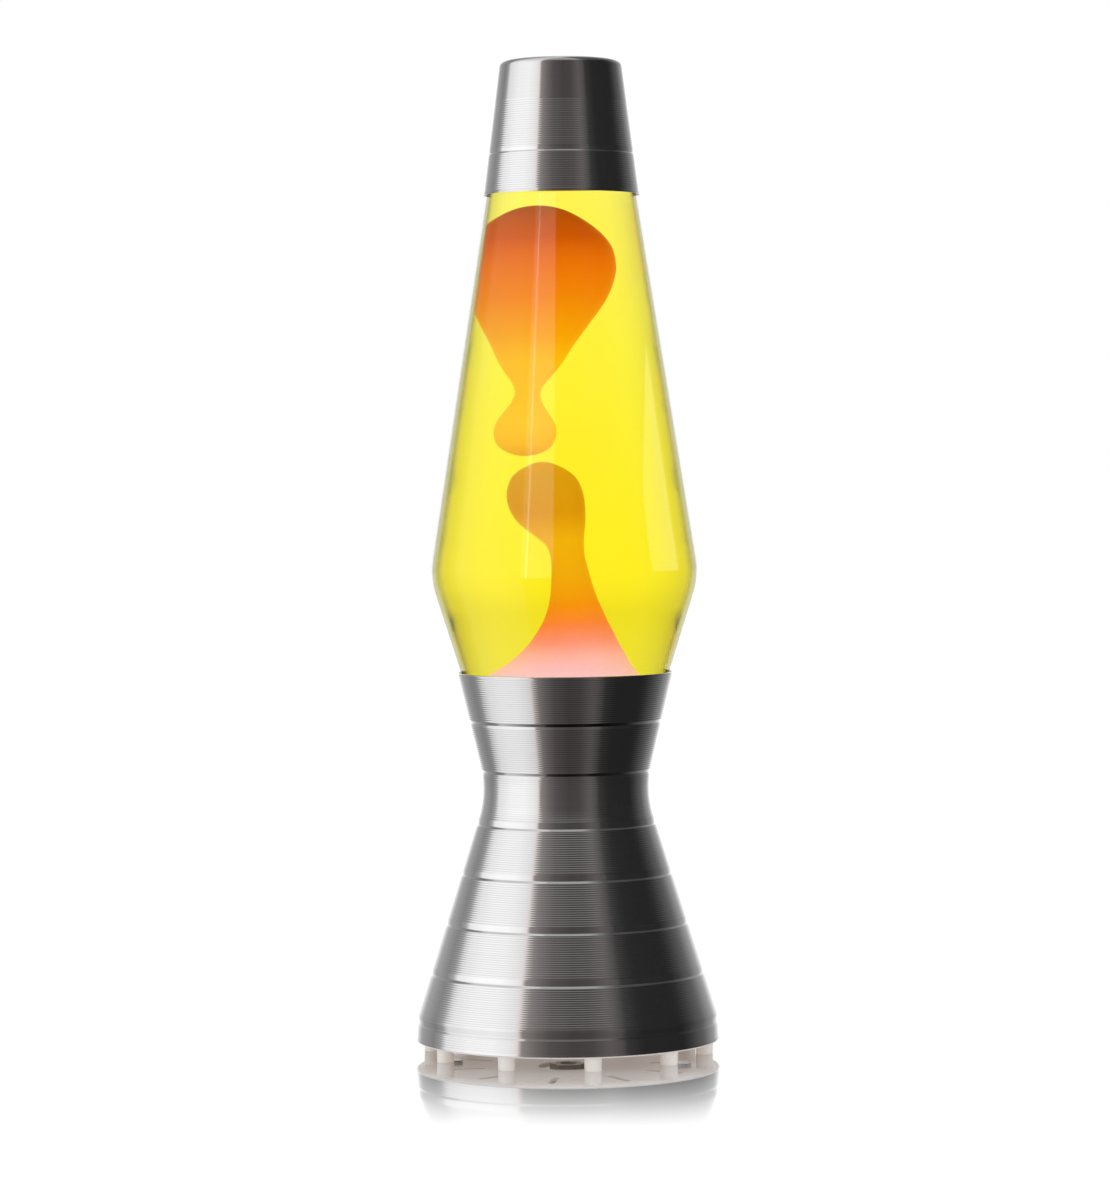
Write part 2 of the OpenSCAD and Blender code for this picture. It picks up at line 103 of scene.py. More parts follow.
# %% Make the tools for nodes
def connect(tree, socket, value):
    """Gives an input its value. Another node's output is wired to it; a number or a colour is
    set on the socket itself."""
    if isinstance(value, bpy.types.NodeSocket):
        tree.links.new(value, socket)
    else:
        socket.default_value = value


def feed(tree, node, **inputs):
    """Gives a node's inputs their values by name. An underscore stands for a space."""
    for name, value in inputs.items():
        connect(tree, node.inputs[name.replace("_", " ")], value)


def add_node(tree, kind, **inputs):
    """A new node with some of its inputs given. Returns its first output."""
    node = tree.nodes.new("ShaderNode" + kind)
    feed(tree, node, **inputs)
    return node.outputs[0]


def reading(tree, kind, output):
    """One named output of a new node that needs no input."""
    return tree.nodes.new("ShaderNode" + kind).outputs[output]


def parts_of(tree, vector):
    """The x, y and z of a vector, as three outputs."""
    node = tree.nodes.new("ShaderNodeSeparateXYZ")
    connect(tree, node.inputs[0], vector)
    return node.outputs


def math_node(tree, operation, *values):
    """One Math node. Each value is a number or another node's output."""
    node = tree.nodes.new("ShaderNodeMath")
    node.operation = operation
    for socket, value in zip(node.inputs, values):
        connect(tree, socket, value)
    return node.outputs[0]


def ramp_node(tree, factor, stops):
    """A colour ramp. Each stop is a position from 0 to 1 and a grey level or a colour."""
    node = tree.nodes.new("ShaderNodeValToRGB")
    elements = node.color_ramp.elements
    while len(elements) > 1:
        elements.remove(elements[0])
    for i, (position, level) in enumerate(stops):
        colour = level if isinstance(level, tuple) else (level, level, level)
        element = elements[0] if i == 0 else elements.new(position)
        element.position = position
        element.color = (*colour, 1)
    feed(tree, node, Fac=factor)
    return node.outputs["Color"]


def mix_node(tree, factor, a, b, blend="MIX"):
    """Mixes two colours by a factor. Each is a colour or another node's output."""
    node = tree.nodes.new("ShaderNodeMix")
    node.data_type = "RGBA"
    node.blend_type = blend
    for i, value in ((0, factor), (6, a), (7, b)):
        connect(tree, node.inputs[i], (*value[:3], 1) if isinstance(value, tuple) else value)
    return node.outputs[2]


def times(tree, a, b):
    """Two colours multiplied."""
    return mix_node(tree, 1.0, a, b, "MULTIPLY")


def fade(tree, value, near, far, low, high):
    """`low` up to the value `near`, `high` beyond `far`, and an S-curve between them."""
    node = tree.nodes.new("ShaderNodeMapRange")
    node.interpolation_type = "SMOOTHSTEP"
    feed(tree, node, Value=value, From_Min=near, From_Max=far, To_Min=low, To_Max=high)
    return node.outputs[0]


def spread(tree, factor, low, high):
    """Takes 0..1 to low..high."""
    return add_node(tree, "MapRange", Value=factor, To_Min=low, To_Max=high)


def shader_mix(tree, share, first, second):
    """All of the first shader where the share is 0, and all of the second where it is 1."""
    node = tree.nodes.new("ShaderNodeMixShader")
    for socket, value in zip(node.inputs, (share, first, second)):
        connect(tree, socket, value)
    return node.outputs[0]


def empty_material(name):
    """A material with no node but its output. Returns it, its node tree and the output."""
    material = bpy.data.materials.new(name)
    material.use_nodes = True
    tree = material.node_tree
    tree.nodes.clear()
    return material, tree, tree.nodes.new("ShaderNodeOutputMaterial")


# %% [markdown]
# ## The studio
# Polished metal has almost no colour of its own: what we see in it is the room. So the room is
# painted. Behind the lamp is a white backdrop. Going round from the lamp's left to its right
# there is a grey wall, a large bright softbox, the dark room behind the camera with a paler
# strip, a black flag, and a grey wall again. The room in front of the lamp is a little warm. A
# second softbox hangs overhead, and the fine ribs of the metal catch it as thin light lines.
#
# The softboxes and the flag are only for reflections. Rays that come straight from the camera,
# or from matt surfaces, meet plain white. Rays that have passed through the bottle meet white as
# well, a little greyer to the sides and higher up, which gives the liquid its darker edges. A
# ray that was bent by the liquid also counts as a reflected one, so its mix comes last.

# %% Paint the studio round the lamp
WHITE = (1.0, 1.0, 1.0, 1.0)
WARM = (1.08, 0.97, 0.93)
WARM_WITHIN = 45
AROUND = [(-180, 1.05), (-166, 1.00), (-156, 0.60), (-147, 0.32), (-123, 0.20), (-113, 0.30),
          (-106, 0.70), (-82, 0.86), (-60, 0.88), (-45, 0.78), (-39, 0.68), (-36, 0.22),
          (-25, 0.13), (-14, 0.075), (4, 0.050), (18, 0.056), (33, 0.095), (42, 0.070),
          (46, 0.034), (60, 0.018), (98, 0.016), (108, 0.035), (126, 0.10), (147, 0.30),
          (156, 0.60), (166, 1.00), (180, 1.05)]
UP_THE_WALLS = [(0.0, 0.02), (0.07, 0.10), (0.16, 0.80), (0.25, 1.05), (0.40, 1.12),
                (0.47, 1.15), (0.50, 1.34), (0.56, 1.34), (0.61, 1.16), (0.72, 1.18),
                (0.80, 0.98), (0.90, 0.50), (1.0, 0.35)]
OVERHEAD = [(0.0, 0.0), (0.79, 0.0), (0.86, 0.20), (1.0, 0.42)]
OVERHEAD_ROUND = [(0.0, 0.6), (0.40, 1.0), (0.60, 1.0), (0.68, 0.25), (0.83, 0.25), (1.0, 0.6)]
BACKDROP_UP = [(0.0, 1.12), (0.50, 1.12), (0.545, 1.07), (0.60, 0.98), (0.70, 0.94), (1.0, 0.9)]
BACKDROP_SIDE = [(0.0, 1.0), (0.35, 0.99), (0.75, 0.82), (1.0, 0.70)]


def behind(tree, x):
    """How bright the backdrop is for light that has come through the bottle: it falls off to
    both sides, which draws the bottle's soft darker edges."""
    return ramp_node(tree, math_node(tree, "ABSOLUTE", x), BACKDROP_SIDE)


def paint_studio():
    """The world's colour by direction. The turn angle is atan2(x, -y), which is 0 towards the
    camera; a ramp reads it as angle / 360 + 1/2, and the height as (z + 1) / 2."""
    world = bpy.data.worlds.new("studio")
    bpy.context.scene.world = world
    world.use_nodes = True
    tree = world.node_tree
    tree.nodes.clear()
    x, y, z = parts_of(tree, reading(tree, "TexCoord", "Generated"))
    turn = math_node(tree, "ARCTAN2", x, math_node(tree, "MULTIPLY", y, -1.0))
    position = math_node(tree, "ADD", math_node(tree, "DIVIDE", turn, 2 * math.pi), 0.5)
    height = math_node(tree, "ADD", math_node(tree, "MULTIPLY", z, 0.5), 0.5)
    stops = []
    for angle, level in AROUND:
        warm = tuple(level * w for w in WARM)
        stops.append((angle / 360 + 0.5, warm if abs(angle) < WARM_WITHIN else level))
    walls = times(tree, ramp_node(tree, position, stops), ramp_node(tree, height, UP_THE_WALLS))
    softbox = times(tree, ramp_node(tree, height, OVERHEAD), ramp_node(tree, position, OVERHEAD_ROUND))
    mirrored = mix_node(tree, 1.0, walls, softbox, "ADD")
    through = times(tree, behind(tree, x), ramp_node(tree, height, BACKDROP_UP))
    seen = mix_node(tree, reading(tree, "LightPath", "Is Glossy Ray"), WHITE, mirrored)
    colour = mix_node(tree, reading(tree, "LightPath", "Is Transmission Ray"), seen, through)
    output = tree.nodes.new("ShaderNodeOutputWorld")
    feed(tree, output, Surface=add_node(tree, "Background", Color=colour, Strength=1.0))


paint_studio()
print("studio painted with", len(AROUND), "stops round the lamp")

# %% [markdown]
# ## The floor
# The lamp stands on glossy white acrylic. Close to the lamp it mirrors the pegs and the plate
# under the rim, and the mirror has faded out some eighteen centimetres in front of it. The metal
# doesn't mirror the floor: lower down it mirrors the studio's own painted lower half.

# %% Lay the floor
FLOOR_SIZE = 8.0
FLOOR_GLOW = 1.12
FLOOR_MATT = (0.86, 0.82, 0.79, 1)
SHADE_NEAR = 0.062
SHADE_FAR = 0.115
MIRROR_NEAR = 0.085
MIRROR_FAR = 0.250
MIRROR_SHARE = 0.82
MIRROR_ROUGHNESS = 0.03
MIRROR_STEEP = 0.66
MIRROR_LOW = 0.84


def floor_material():
    """Far out an evenly lit white; near the lamp a matt white that takes the lamp's own shadow,
    under a mirror coat that fades out. The coat mirrors most at a low angle, as polished plastic
    does. From below the floor is clear."""
    material, tree, output = empty_material("white acrylic floor")
    point = reading(tree, "TexCoord", "Object")
    reach = tree.nodes.new("ShaderNodeVectorMath")
    reach.operation = "LENGTH"
    connect(tree, reach.inputs[0], point)
    distance = reach.outputs["Value"]
    sideways = math_node(tree, "DIVIDE", parts_of(tree, point)[0], distance)
    through = reading(tree, "LightPath", "Is Transmission Ray")
    # Painted shade: seen through the bottle, the floor's glow dims to the sides as the backdrop does, which
    # darkens the liquid's edges.
    glow = add_node(tree, "Emission", Color=mix_node(tree, through, WHITE, behind(tree, sideways)),
                    Strength=FLOOR_GLOW)
    matt = add_node(tree, "BsdfDiffuse", Color=FLOOR_MATT)
    white = shader_mix(tree, fade(tree, distance, SHADE_NEAR, SHADE_FAR, 0.0, 1.0), matt, glow)
    near = fade(tree, distance, MIRROR_NEAR, MIRROR_FAR, MIRROR_SHARE, 0.0)
    facing = reading(tree, "LayerWeight", "Facing")
    share = math_node(tree, "MULTIPLY", near, fade(tree, facing, MIRROR_STEEP, MIRROR_LOW, 0.1, 1.0))
    gloss = add_node(tree, "BsdfGlossy", Roughness=MIRROR_ROUGHNESS)
    from_below = reading(tree, "NewGeometry", "Backfacing")
    feed(tree, output, Surface=shader_mix(tree, from_below, shader_mix(tree, share, white, gloss),
                                          add_node(tree, "BsdfTransparent")))
    return material


def lay_floor():
    """A flat square that reflections don't show."""
    mesh = bpy.data.meshes.new("floor")
    s = FLOOR_SIZE
    mesh.from_pydata([(-s, -s, 0), (s, -s, 0), (s, s, 0), (-s, s, 0)], [], [(0, 1, 2, 3)])
    floor = bpy.data.objects.new("floor", mesh)
    bpy.context.scene.collection.objects.link(floor)
    mesh.materials.append(floor_material())
    floor.visible_glossy = False


lay_floor()
print("floor laid,", 2 * FLOOR_SIZE, "m across")

# %% [markdown]
# ## Tools for turned shapes
# Nearly everything on this lamp is turned: it is one outline swept once round the lamp's axis.
# Blender could do that with its Spin tool or a Screw modifier, but an outline held as an array
# can also carry ribs, beads and threads worked out with a formula. So here an outline is an
# array of (radius, height) rows in millimetres, and the surface is an array of rings.


# %% Draw outlines with rounded corners
def unit(v):
    """A vector divided by its length."""
    return v / np.linalg.norm(v)


def corner_arc(a, b, c, radius, steps=16):
    """Points of the arc of one radius that touches both the line a-b and the line b-c.
    It starts at distance radius / tan(half angle) from the corner b, and its centre lies on
    the line that halves the angle, at distance radius / sin(half angle)."""
    u, v = unit(a - b), unit(c - b)
    half = math.acos(float(np.clip(u @ v, -1, 1))) / 2
    centre = b + unit(u + v) * radius / math.sin(half)
    start = b + u * radius / math.tan(half) - centre
    side = np.sign((b[0] - a[0]) * (c[1] - b[1]) - (b[1] - a[1]) * (c[0] - b[0]))
    t = np.linspace(0, side * (math.pi - 2 * half), steps)
    return centre + np.column_stack([start[0] * np.cos(t) - start[1] * np.sin(t),
                                     start[0] * np.sin(t) + start[1] * np.cos(t)])


def rounded(corners):
    """An outline from (radius, height, rounding) corners; the first and last stay sharp."""
    flat = [np.array(c[:2], float) for c in corners]
    parts = [flat[:1]]
    for i in range(1, len(corners) - 1):
        if len(corners[i]) < 3:
            parts.append([flat[i]])
        else:
            parts.append(corner_arc(*flat[i - 1:i + 2], corners[i][2]))
    parts.append(flat[-1:])
    return np.vstack(parts)


def evenly(path, step):
    """The same outline with even spacing: its points are looked up on its running length.
    Returns the running length and the points."""
    run = np.concatenate([[0], np.cumsum(np.linalg.norm(np.diff(path, axis=0), axis=1))])
    s = np.linspace(0, run[-1], max(2, int(round(run[-1] / step)) + 1))
    return s, np.column_stack([np.interp(s, run, path[:, 0]), np.interp(s, run, path[:, 1])])


def along(path):
    """The directions along a path, each of length 1."""
    t = np.gradient(path, axis=0)
    return t / np.linalg.norm(t, axis=1)[:, None]


def left_of(path):
    """Unit normals to the left of an outline: its direction turned by a quarter turn."""
    t = along(path)
    return np.column_stack([-t[:, 1], t[:, 0]])


def inside(path, d):
    """An outline moved d to its left, which is inwards when it is drawn upwards."""
    moved = path + left_of(path) * d
    moved[:, 0] = np.maximum(moved[:, 0], 0)
    return moved


def smooth_keys(keys, steps):
    """A Catmull-Rom curve: each stretch is the cubic that passes through its two keys with the
    slope of the chord between their neighbours. The first and last keys only steer it."""
    keys = np.asarray(keys, float)
    p0, p1, p2, p3 = keys[:-3, None], keys[1:-2, None], keys[2:-1, None], keys[3:, None]
    t = (np.arange(steps) / steps)[None, :, None]
    curve = (2 * p1 + (p2 - p0) * t + (2 * p0 - 5 * p1 + 4 * p2 - p3) * t**2
             + (3 * p1 - p0 - 3 * p2 + p3) * t**3) / 2
    return np.vstack([curve.reshape(-1, keys.shape[1]), keys[-2:-1]])


def step_between(x, low, high):
    """0 below low, 1 above high, and an S-curve between them."""
    t = np.clip((x - low) / (high - low), 0, 1)
    return t * t * (3 - 2 * t)


square = [np.array(corner, float) for corner in ((0, 0), (10, 0), (10, 10))]
print("a quarter round of 5 mm:", corner_arc(*square, 5, 3).round(2).tolist())


# %% Make surfaces from rings
def skin(name, grid, join_rows=False, sharp=35):
    """A mesh from an array of points in millimetres, shaped rows x columns x 3. Each four
    neighbours make one face, and each row closes into a ring. join_rows joins the last ring to
    the first. Points that fall together, as at a pole, are then merged."""
    rows, columns = grid.shape[:2]
    index = np.arange(rows * columns).reshape(rows, columns)
    below = index if join_rows else index[:-1]
    above = np.roll(index, -1, axis=0) if join_rows else index[1:]
    quads = np.stack([below, np.roll(below, -1, axis=1), np.roll(above, -1, axis=1), above], axis=-1)
    quads = quads.reshape(-1, 4)
    mesh = bpy.data.meshes.new(name)
    mesh.vertices.add(rows * columns)
    mesh.vertices.foreach_set("co", (grid.reshape(-1) * MM).astype(np.float32))
    mesh.loops.add(quads.size)
    mesh.loops.foreach_set("vertex_index", quads.reshape(-1).astype(np.int32))
    mesh.polygons.add(len(quads))
    mesh.polygons.foreach_set("loop_start", np.arange(0, quads.size, 4, dtype=np.int32))
    mesh.update(calc_edges=True)
    return tidy_mesh(mesh, sharp)


def tidy_mesh(mesh, sharp=35, merge=0.002):
    """Merges points that fall together, drops faces with no area and shades the mesh smooth,
    apart from edges that bend by more than `sharp` degrees."""
    work = bmesh.new()
    work.from_mesh(mesh)
    bmesh.ops.remove_doubles(work, verts=work.verts, dist=merge * MM)
    bmesh.ops.dissolve_degenerate(work, edges=work.edges, dist=merge * MM / 4)
    work.to_mesh(mesh)
    work.free()
    mesh.polygons.foreach_set("use_smooth", np.ones(len(mesh.polygons), bool))
    mesh.set_sharp_from_angle(angle=math.radians(sharp))
    mesh.update()
    return mesh


def turn_angles(sides):
    """Evenly spaced angles once round the axis."""
    return np.arange(sides) * 2 * np.pi / sides


def rings(profile, sides=96):
    """Sweeps an outline of (radius, height) once round the axis: each row becomes a ring of
    points (radius cos a, radius sin a, height)."""
    a = turn_angles(sides)
    r, z = profile[:, :1], profile[:, 1:]
    return np.stack([r * np.cos(a), r * np.sin(a), np.repeat(z, sides, axis=1)], axis=-1)


def tube(path, radius, sides):
    """A round tube along points in space. Each ring lies square to the path, on two axes that
    are carried along it."""
    t = along(path)
    u = np.cross(np.array([1.0, 0.3, 2.0]), t)
    u /= np.linalg.norm(u, axis=1)[:, None]
    v = np.cross(t, u)
    a = turn_angles(sides)[None, :, None]
    return path[:, None] + radius * (u[:, None] * np.cos(a) + v[:, None] * np.sin(a))


def closed_tube(path, radius, sides):
    """A tube whose two ends are closed by a ring of no radius."""
    first = np.repeat(path[:1, None], sides, axis=1)
    last = np.repeat(path[-1:, None], sides, axis=1)
    return np.concatenate([first, tube(path, radius, sides), last])


def place(name, mesh, material, body, replaces=()):
    """Makes the piece, lets it ride on its body and hides the CAD nodes that it stands for."""
    piece = bpy.data.objects.new(name, mesh)
    bpy.context.scene.collection.objects.link(piece)
    mesh.materials.clear()
    for m in material if isinstance(material, (list, tuple)) else [material]:
        mesh.materials.append(m)
    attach(piece, body)
    if replaces:
        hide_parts(*replaces)
    print(f"{name}: {sum(len(p.vertices) - 2 for p in mesh.polygons)} triangles")
    return piece


# %% [markdown]
# ## The metal
# The base and the cap are spun from aluminium sheet on a lathe. The tool leaves fine rings that
# run round the metal, so its roughness and its tiny height differences change with height and
# radius only, with a little slow variation where hands have dulled it. The visible ribs are
# real shape and are made further down. Here are only the marks between them.

# %% Mix the metals
def new_material(name):
    """A material with one Principled shader. Returns it, its node tree and the shader."""
    material, tree, output = empty_material(name)
    shader = tree.nodes.new("ShaderNodeBsdfPrincipled")
    feed(tree, output, Surface=shader.outputs[0])
    return material, tree, shader


def noise_node(tree, scale, detail=3):
    """Soft random variation, from 0 to 1, in object space."""
    point = reading(tree, "TexCoord", "Object")
    return add_node(tree, "TexNoise", Vector=point, Scale=scale, Detail=detail, Roughness=0.55)


def turning_marks(tree, per_metre):
    """Random lines that run round the axis: noise on (height + radius) alone. The radius is the
    square root of x x + y y."""
    x, y, z = parts_of(tree, reading(tree, "TexCoord", "Object"))
    squares = [math_node(tree, "MULTIPLY", side, side) for side in (x, y)]
    radius = math_node(tree, "SQRT", math_node(tree, "ADD", *squares))
    node = tree.nodes.new("ShaderNodeTexNoise")
    node.noise_dimensions = "1D"
    feed(tree, node, W=math_node(tree, "ADD", z, radius), Scale=per_metre, Detail=4)
    return node.outputs["Fac"]


def bump(tree, shader, height, depth, strength):
    """Tilts the surface's shading by a height map that is `depth` metres deep."""
    tilted = add_node(tree, "Bump", Height=height, Distance=depth, Strength=strength)
    feed(tree, shader, Normal=tilted)


def metal(name, dark, light, rough, marks=None, grain=900, depth=0.000004):
    """A bare metal: two close tones, a rough range, and either turning marks or a fine grain."""
    material, tree, shader = new_material(name)
    pattern = turning_marks(tree, marks) if marks else noise_node(tree, grain)
    wear = noise_node(tree, 45, 2)
    both = math_node(tree, "MULTIPLY", math_node(tree, "ADD", pattern, wear), 0.5)
    feed(tree, shader, Base_Color=mix_node(tree, pattern, dark, light), Metallic=1.0,
         Roughness=spread(tree, both, *rough))
    bump(tree, shader, pattern, depth, 0.6)
    return material


SPUN = metal("spun aluminium", (0.80, 0.80, 0.81), (0.90, 0.90, 0.905), (0.03, 0.09), 2600,
             depth=0.000003)
INNER = metal("inside of the spinning", (0.62, 0.62, 0.63), (0.78, 0.78, 0.78), (0.25, 0.45), 1500)
ZINC = metal("zinc plated steel", (0.50, 0.52, 0.55), (0.68, 0.69, 0.70), (0.24, 0.42), grain=650)
TINNED = metal("tinned steel", (0.60, 0.60, 0.60), (0.78, 0.78, 0.77), (0.16, 0.34), grain=420)
BRASS = metal("turned brass", (0.72, 0.50, 0.20), (0.86, 0.66, 0.32), (0.16, 0.34), 1900)
# Painted shade: the nipple and its nut get this dark tone to match the shade they hang in under the plate.
SHADE_DARK_BRASS = metal("brass darkened as painted shade", (0.24, 0.21, 0.18), (0.34, 0.30, 0.26), (0.45, 0.65), grain=800)
SPRING = metal("drawn spring wire", (0.30, 0.30, 0.31), (0.50, 0.50, 0.50), (0.22, 0.40), grain=1400)
BULB_METAL = metal("pressed bulb cap", (0.62, 0.61, 0.58), (0.82, 0.80, 0.76), (0.18, 0.38), grain=800)
METALS = (SPUN, INNER, ZINC, TINNED, BRASS, SHADE_DARK_BRASS, SPRING, BULB_METAL)
print("metals:", ", ".join(m.name for m in METALS))

# %% [markdown]
# ## The base
# The base is one aluminium disc pressed over a turned former on a spinning lathe. That leaves
# ribs as fine as a thread all the way up. At seven heights the ribs stop: the upper two are
# narrow grooves, and the five below them are flat upright bands that end on a short ledge. The
# ribs could be a bump map, but then the light lines would not follow the waist at its edge. They
# are cheap as real shape: five points per rib, swept round once. The ribs and bands are pressed
# inwards, so the base never leaves its CAD outline.

# %% Turn the base
RIM_Z = 6.5
MOUTH_Z = 165.5
SHEET = 0.7
FLANGE_R = 62
RIB_PITCH = 0.96
RIB_DEPTH = 0.08
BAND_STEP = 21.5
BAND_COUNT = 7
BAND = {"height": 3.3, "ledge": 1.0, "lean": 0.16}
GROOVE_COUNT = 2
GROOVE_HEIGHT = 2.6
GROOVE_DEPTH = 0.5
GROOVE_SHADED = 0.62
BASE_PATH = rounded([(66, RIM_Z), (65.3, 17.5, 8), (34.7, 114.3, 42), (47.1, MOUTH_Z)])


def window(z, centre, height, edge=0.25):
    """1 inside a band round `centre`, 0 outside it, with soft edges."""
    return step_between(z, centre - height / 2 - edge, centre - height / 2) * (
        1 - step_between(z, centre + height / 2, centre + height / 2 + edge))


def groove_depth(z, centre):
    """How far a groove lies inside the ribs: straight in over its top part, which stays in
    shade, and out again over the rest, which looks up to the light."""
    down = (centre + GROOVE_HEIGHT / 2 - z) / GROOVE_HEIGHT
    share = np.minimum(down / GROOVE_SHADED, (1 - down) / (1 - GROOVE_SHADED))
    return GROOVE_DEPTH * np.clip(share, 0, 1)


def band_depth(z, centre, height, ledge, lean):
    """How far a flat band lies inside the ribs: it starts level with them at its top, leans in
    by `lean` for each unit of height, which makes it upright, and ends on a short ledge. All of
    it lies another 0.06 mm deeper, as the spinner's tool left it."""
    down = centre + height / 2 - z
    leaning = np.minimum(down, (height - down) * (height - ledge) / ledge)
    return lean * np.clip(leaning, 0, None) + 0.06 * window(z, centre, height, 0.12)


def rib_depth(run, deep):
    """How far ribs press an outline in along its running length: (1 - cos) / 2 of their depth."""
    return deep * (1 - np.cos(2 * np.pi * run / RIB_PITCH)) / 2


def base_outline():
    """The base's outer outline. Its two ends, its grooves and its bands have no ribs."""
    run, path = evenly(BASE_PATH, RIB_PITCH / 5)
    z = path[:, 1]
    smooth = np.maximum(1 - step_between(z, RIM_Z + 0.5, RIM_Z + 0.8),
                        step_between(z, MOUTH_Z - 1.2, MOUTH_Z - 0.9))
    depth = np.zeros_like(z)
    for i in range(1, BAND_COUNT + 1):
        centre = MOUTH_Z - i * BAND_STEP
        if i <= GROOVE_COUNT:
            smooth = np.maximum(smooth, window(z, centre, GROOVE_HEIGHT))
            depth += groove_depth(z, centre)
        else:
            smooth = np.maximum(smooth, window(z, centre, BAND["height"]))
            depth += band_depth(z, centre, **BAND)
    depth += rib_depth(run, RIB_DEPTH) * (1 - smooth)
    return path + left_of(path) * depth[:, None]


def base_mesh():
    """The outline goes up the outside, over the rolled lip, down the inside and back to the
    start round the flange at the foot."""
    outer = base_outline()
    inner = inside(evenly(BASE_PATH, 2.5)[1], SHEET)[::-1]
    inner = inner[(inner[:, 1] > RIM_Z + SHEET + 1) & (inner[:, 1] < MOUTH_Z - 0.8)]
    outer = outer[outer[:, 1] < MOUTH_Z - 0.6]
    lip = np.array([(47.0, MOUTH_Z - 0.45), (46.9, MOUTH_Z - 0.2), (46.7, MOUTH_Z - 0.05),
                    (46.5, MOUTH_Z), (46.4, MOUTH_Z - 0.35)])
    foot = np.array([(65.25, 7.4), (65.0, RIM_Z + SHEET), (FLANGE_R, RIM_Z + SHEET),
                     (FLANGE_R, RIM_Z), (65.7, RIM_Z)])
    outer[0] = (65.97, RIM_Z + 0.12)
    outline = np.vstack([outer, lip, inner, foot])
    return skin("base_shell_turned", rings(outline), join_rows=True, sharp=50)


def second_material_inside(mesh, z_low, z_high):
    """Faces that look towards the axis, between two heights, take the second material."""
    n = len(mesh.polygons)
    normal, centre = np.zeros(n * 3), np.zeros(n * 3)
    mesh.polygons.foreach_get("normal", normal)
    mesh.polygons.foreach_get("center", centre)
    normal, centre = normal.reshape(-1, 3), centre.reshape(-1, 3)
    inward = (normal[:, :2] * centre[:, :2]).sum(axis=1) < 0
    inward &= (centre[:, 2] > z_low * MM) & (centre[:, 2] < z_high * MM)
    mesh.polygons.foreach_set("material_index", inward.astype(np.int32))


base = base_mesh()
place("base_turned", base, [SPUN, INNER], "base", ["base_shell"])
second_material_inside(base, RIM_Z, MOUTH_Z - 1)
print("ribs up the base:", int(evenly(BASE_PATH, 1)[0][-1] / RIB_PITCH))

# %% [markdown]
# ## The cap
# The cap is spun like the base, on a smaller former. Its top part is burnished smooth, and the
# part below it has the same ribs as the base, with one flat band across them.

# %% Turn the cap
CAP_Z = 371.5
CAP_PATH = rounded([(34.25, CAP_Z), (33.95, CAP_Z + 1.2), (26.5, 429.4, 3.2), (0, 430)])
CAP_RIB_DEPTH = 0.085
CAP_SMOOTH_Z = 411
CAP_BAND_Z = CAP_Z + 18.2
CAP_BAND = {"height": 2.2, "ledge": 0.6, "lean": 0.14}


def cap_outline():
    """The cap's outer outline. Its edge, its band and its top part have no ribs."""
    run, path = evenly(CAP_PATH, RIB_PITCH / 6)
    z = path[:, 1]
    smooth = np.maximum(window(z, CAP_BAND_Z, 2.0), step_between(z, CAP_SMOOTH_Z, CAP_SMOOTH_Z + 0.6))
    smooth = np.maximum(smooth, 1 - step_between(z, CAP_Z + 1.0, CAP_Z + 1.6))
    depth = rib_depth(run, CAP_RIB_DEPTH) * (1 - smooth) + band_depth(z, CAP_BAND_Z, **CAP_BAND)
    return path + left_of(path) * depth[:, None]


def cap_mesh():
    """The outline starts in the middle of the inside, comes down, turns round the edge and goes
    up the outside to the middle of the top."""
    inner = inside(evenly(CAP_PATH, 2.0)[1], SHEET)[::-1]
    inner[0, 0] = 0
    inner = inner[inner[:, 1] > CAP_Z + 0.4]
    outer = cap_outline()
    outer[-1] = (0, 430)
    lip = np.array([(33.62, CAP_Z + 0.15), (33.8, CAP_Z), (34.1, CAP_Z)])
    return skin("cap_turned", rings(np.vstack([inner, lip, outer])), sharp=50)


cap = cap_mesh()
place("cap_turned", cap, [SPUN, INNER], "cap", ["top_cap"])
second_material_inside(cap, CAP_Z, 429)

# %% [markdown]
# ## The bottle
# The bottle is blown clear glass, two cones that meet in a rounded belly, with a short neck for a
# pressed metal closure. It is one closed skin, outside and inside. Real glass bends light, but a
# two-millimetre wall bends it twice by nearly the same amount, so here the wall only reflects
# and lets light through straight. A real wall also makes the liquid look wider than it is, so the
# wall is drawn thinner than the real one to leave the same narrow clear border.

# %% Blow the bottle
FLOOR_Z = 134.5
SEEN_WALL = 0.9
BOTTLE_SIDES = 360
NECK_TOP = 412
GLASS_LEAST_SHARE = 0.006
GLASS_EDGE_SHARE = 0.3
BOTTLE_PATH = rounded([(0, 132.5), (26.9, 130, 6), (34.9, 130, 5), (59, 206.6, 34), (30.9, 385, 12),
                       (13.2, 397, 5), (13.2, 406.6)])


def hollow_outline():
    """The bottle's inside, from the edge of its floor up to its neck: the outside moved in by
    the thickness of the wall, above the floor."""
    wall = inside(evenly(BOTTLE_PATH, 2.5)[1], SEEN_WALL)
    wall = wall[(wall[:, 1] > FLOOR_Z + 0.2) & (wall[:, 1] < 406)]
    wall = wall[(wall[:, 0] > 30) | (wall[:, 1] > 300)]
    start = wall[0] + (wall[0] - wall[1]) / (wall[1] - wall[0])[1] * (wall[0][1] - FLOOR_Z)
    return np.vstack([[start], wall])


HOLLOW = hollow_outline()


def glass_material():
    """Clear glass: light goes straight through, apart from a share that is reflected. The share
    follows Schlick's rule, low + high (1 - cos)^5, the same from both sides of the wall."""
    material, tree, output = empty_material("blown glass")
    grazing = math_node(tree, "POWER", reading(tree, "LayerWeight", "Facing"), 5.0)
    edge = math_node(tree, "MULTIPLY", grazing, GLASS_EDGE_SHARE)
    share = math_node(tree, "ADD", edge, GLASS_LEAST_SHARE)
    clear = add_node(tree, "BsdfTransparent", Color=(0.985, 0.99, 0.985, 1))
    gloss = add_node(tree, "BsdfGlossy", Roughness=spread(tree, noise_node(tree, 60), 0.015, 0.045))
    feed(tree, output, Surface=shader_mix(tree, share, clear, gloss))
    return material


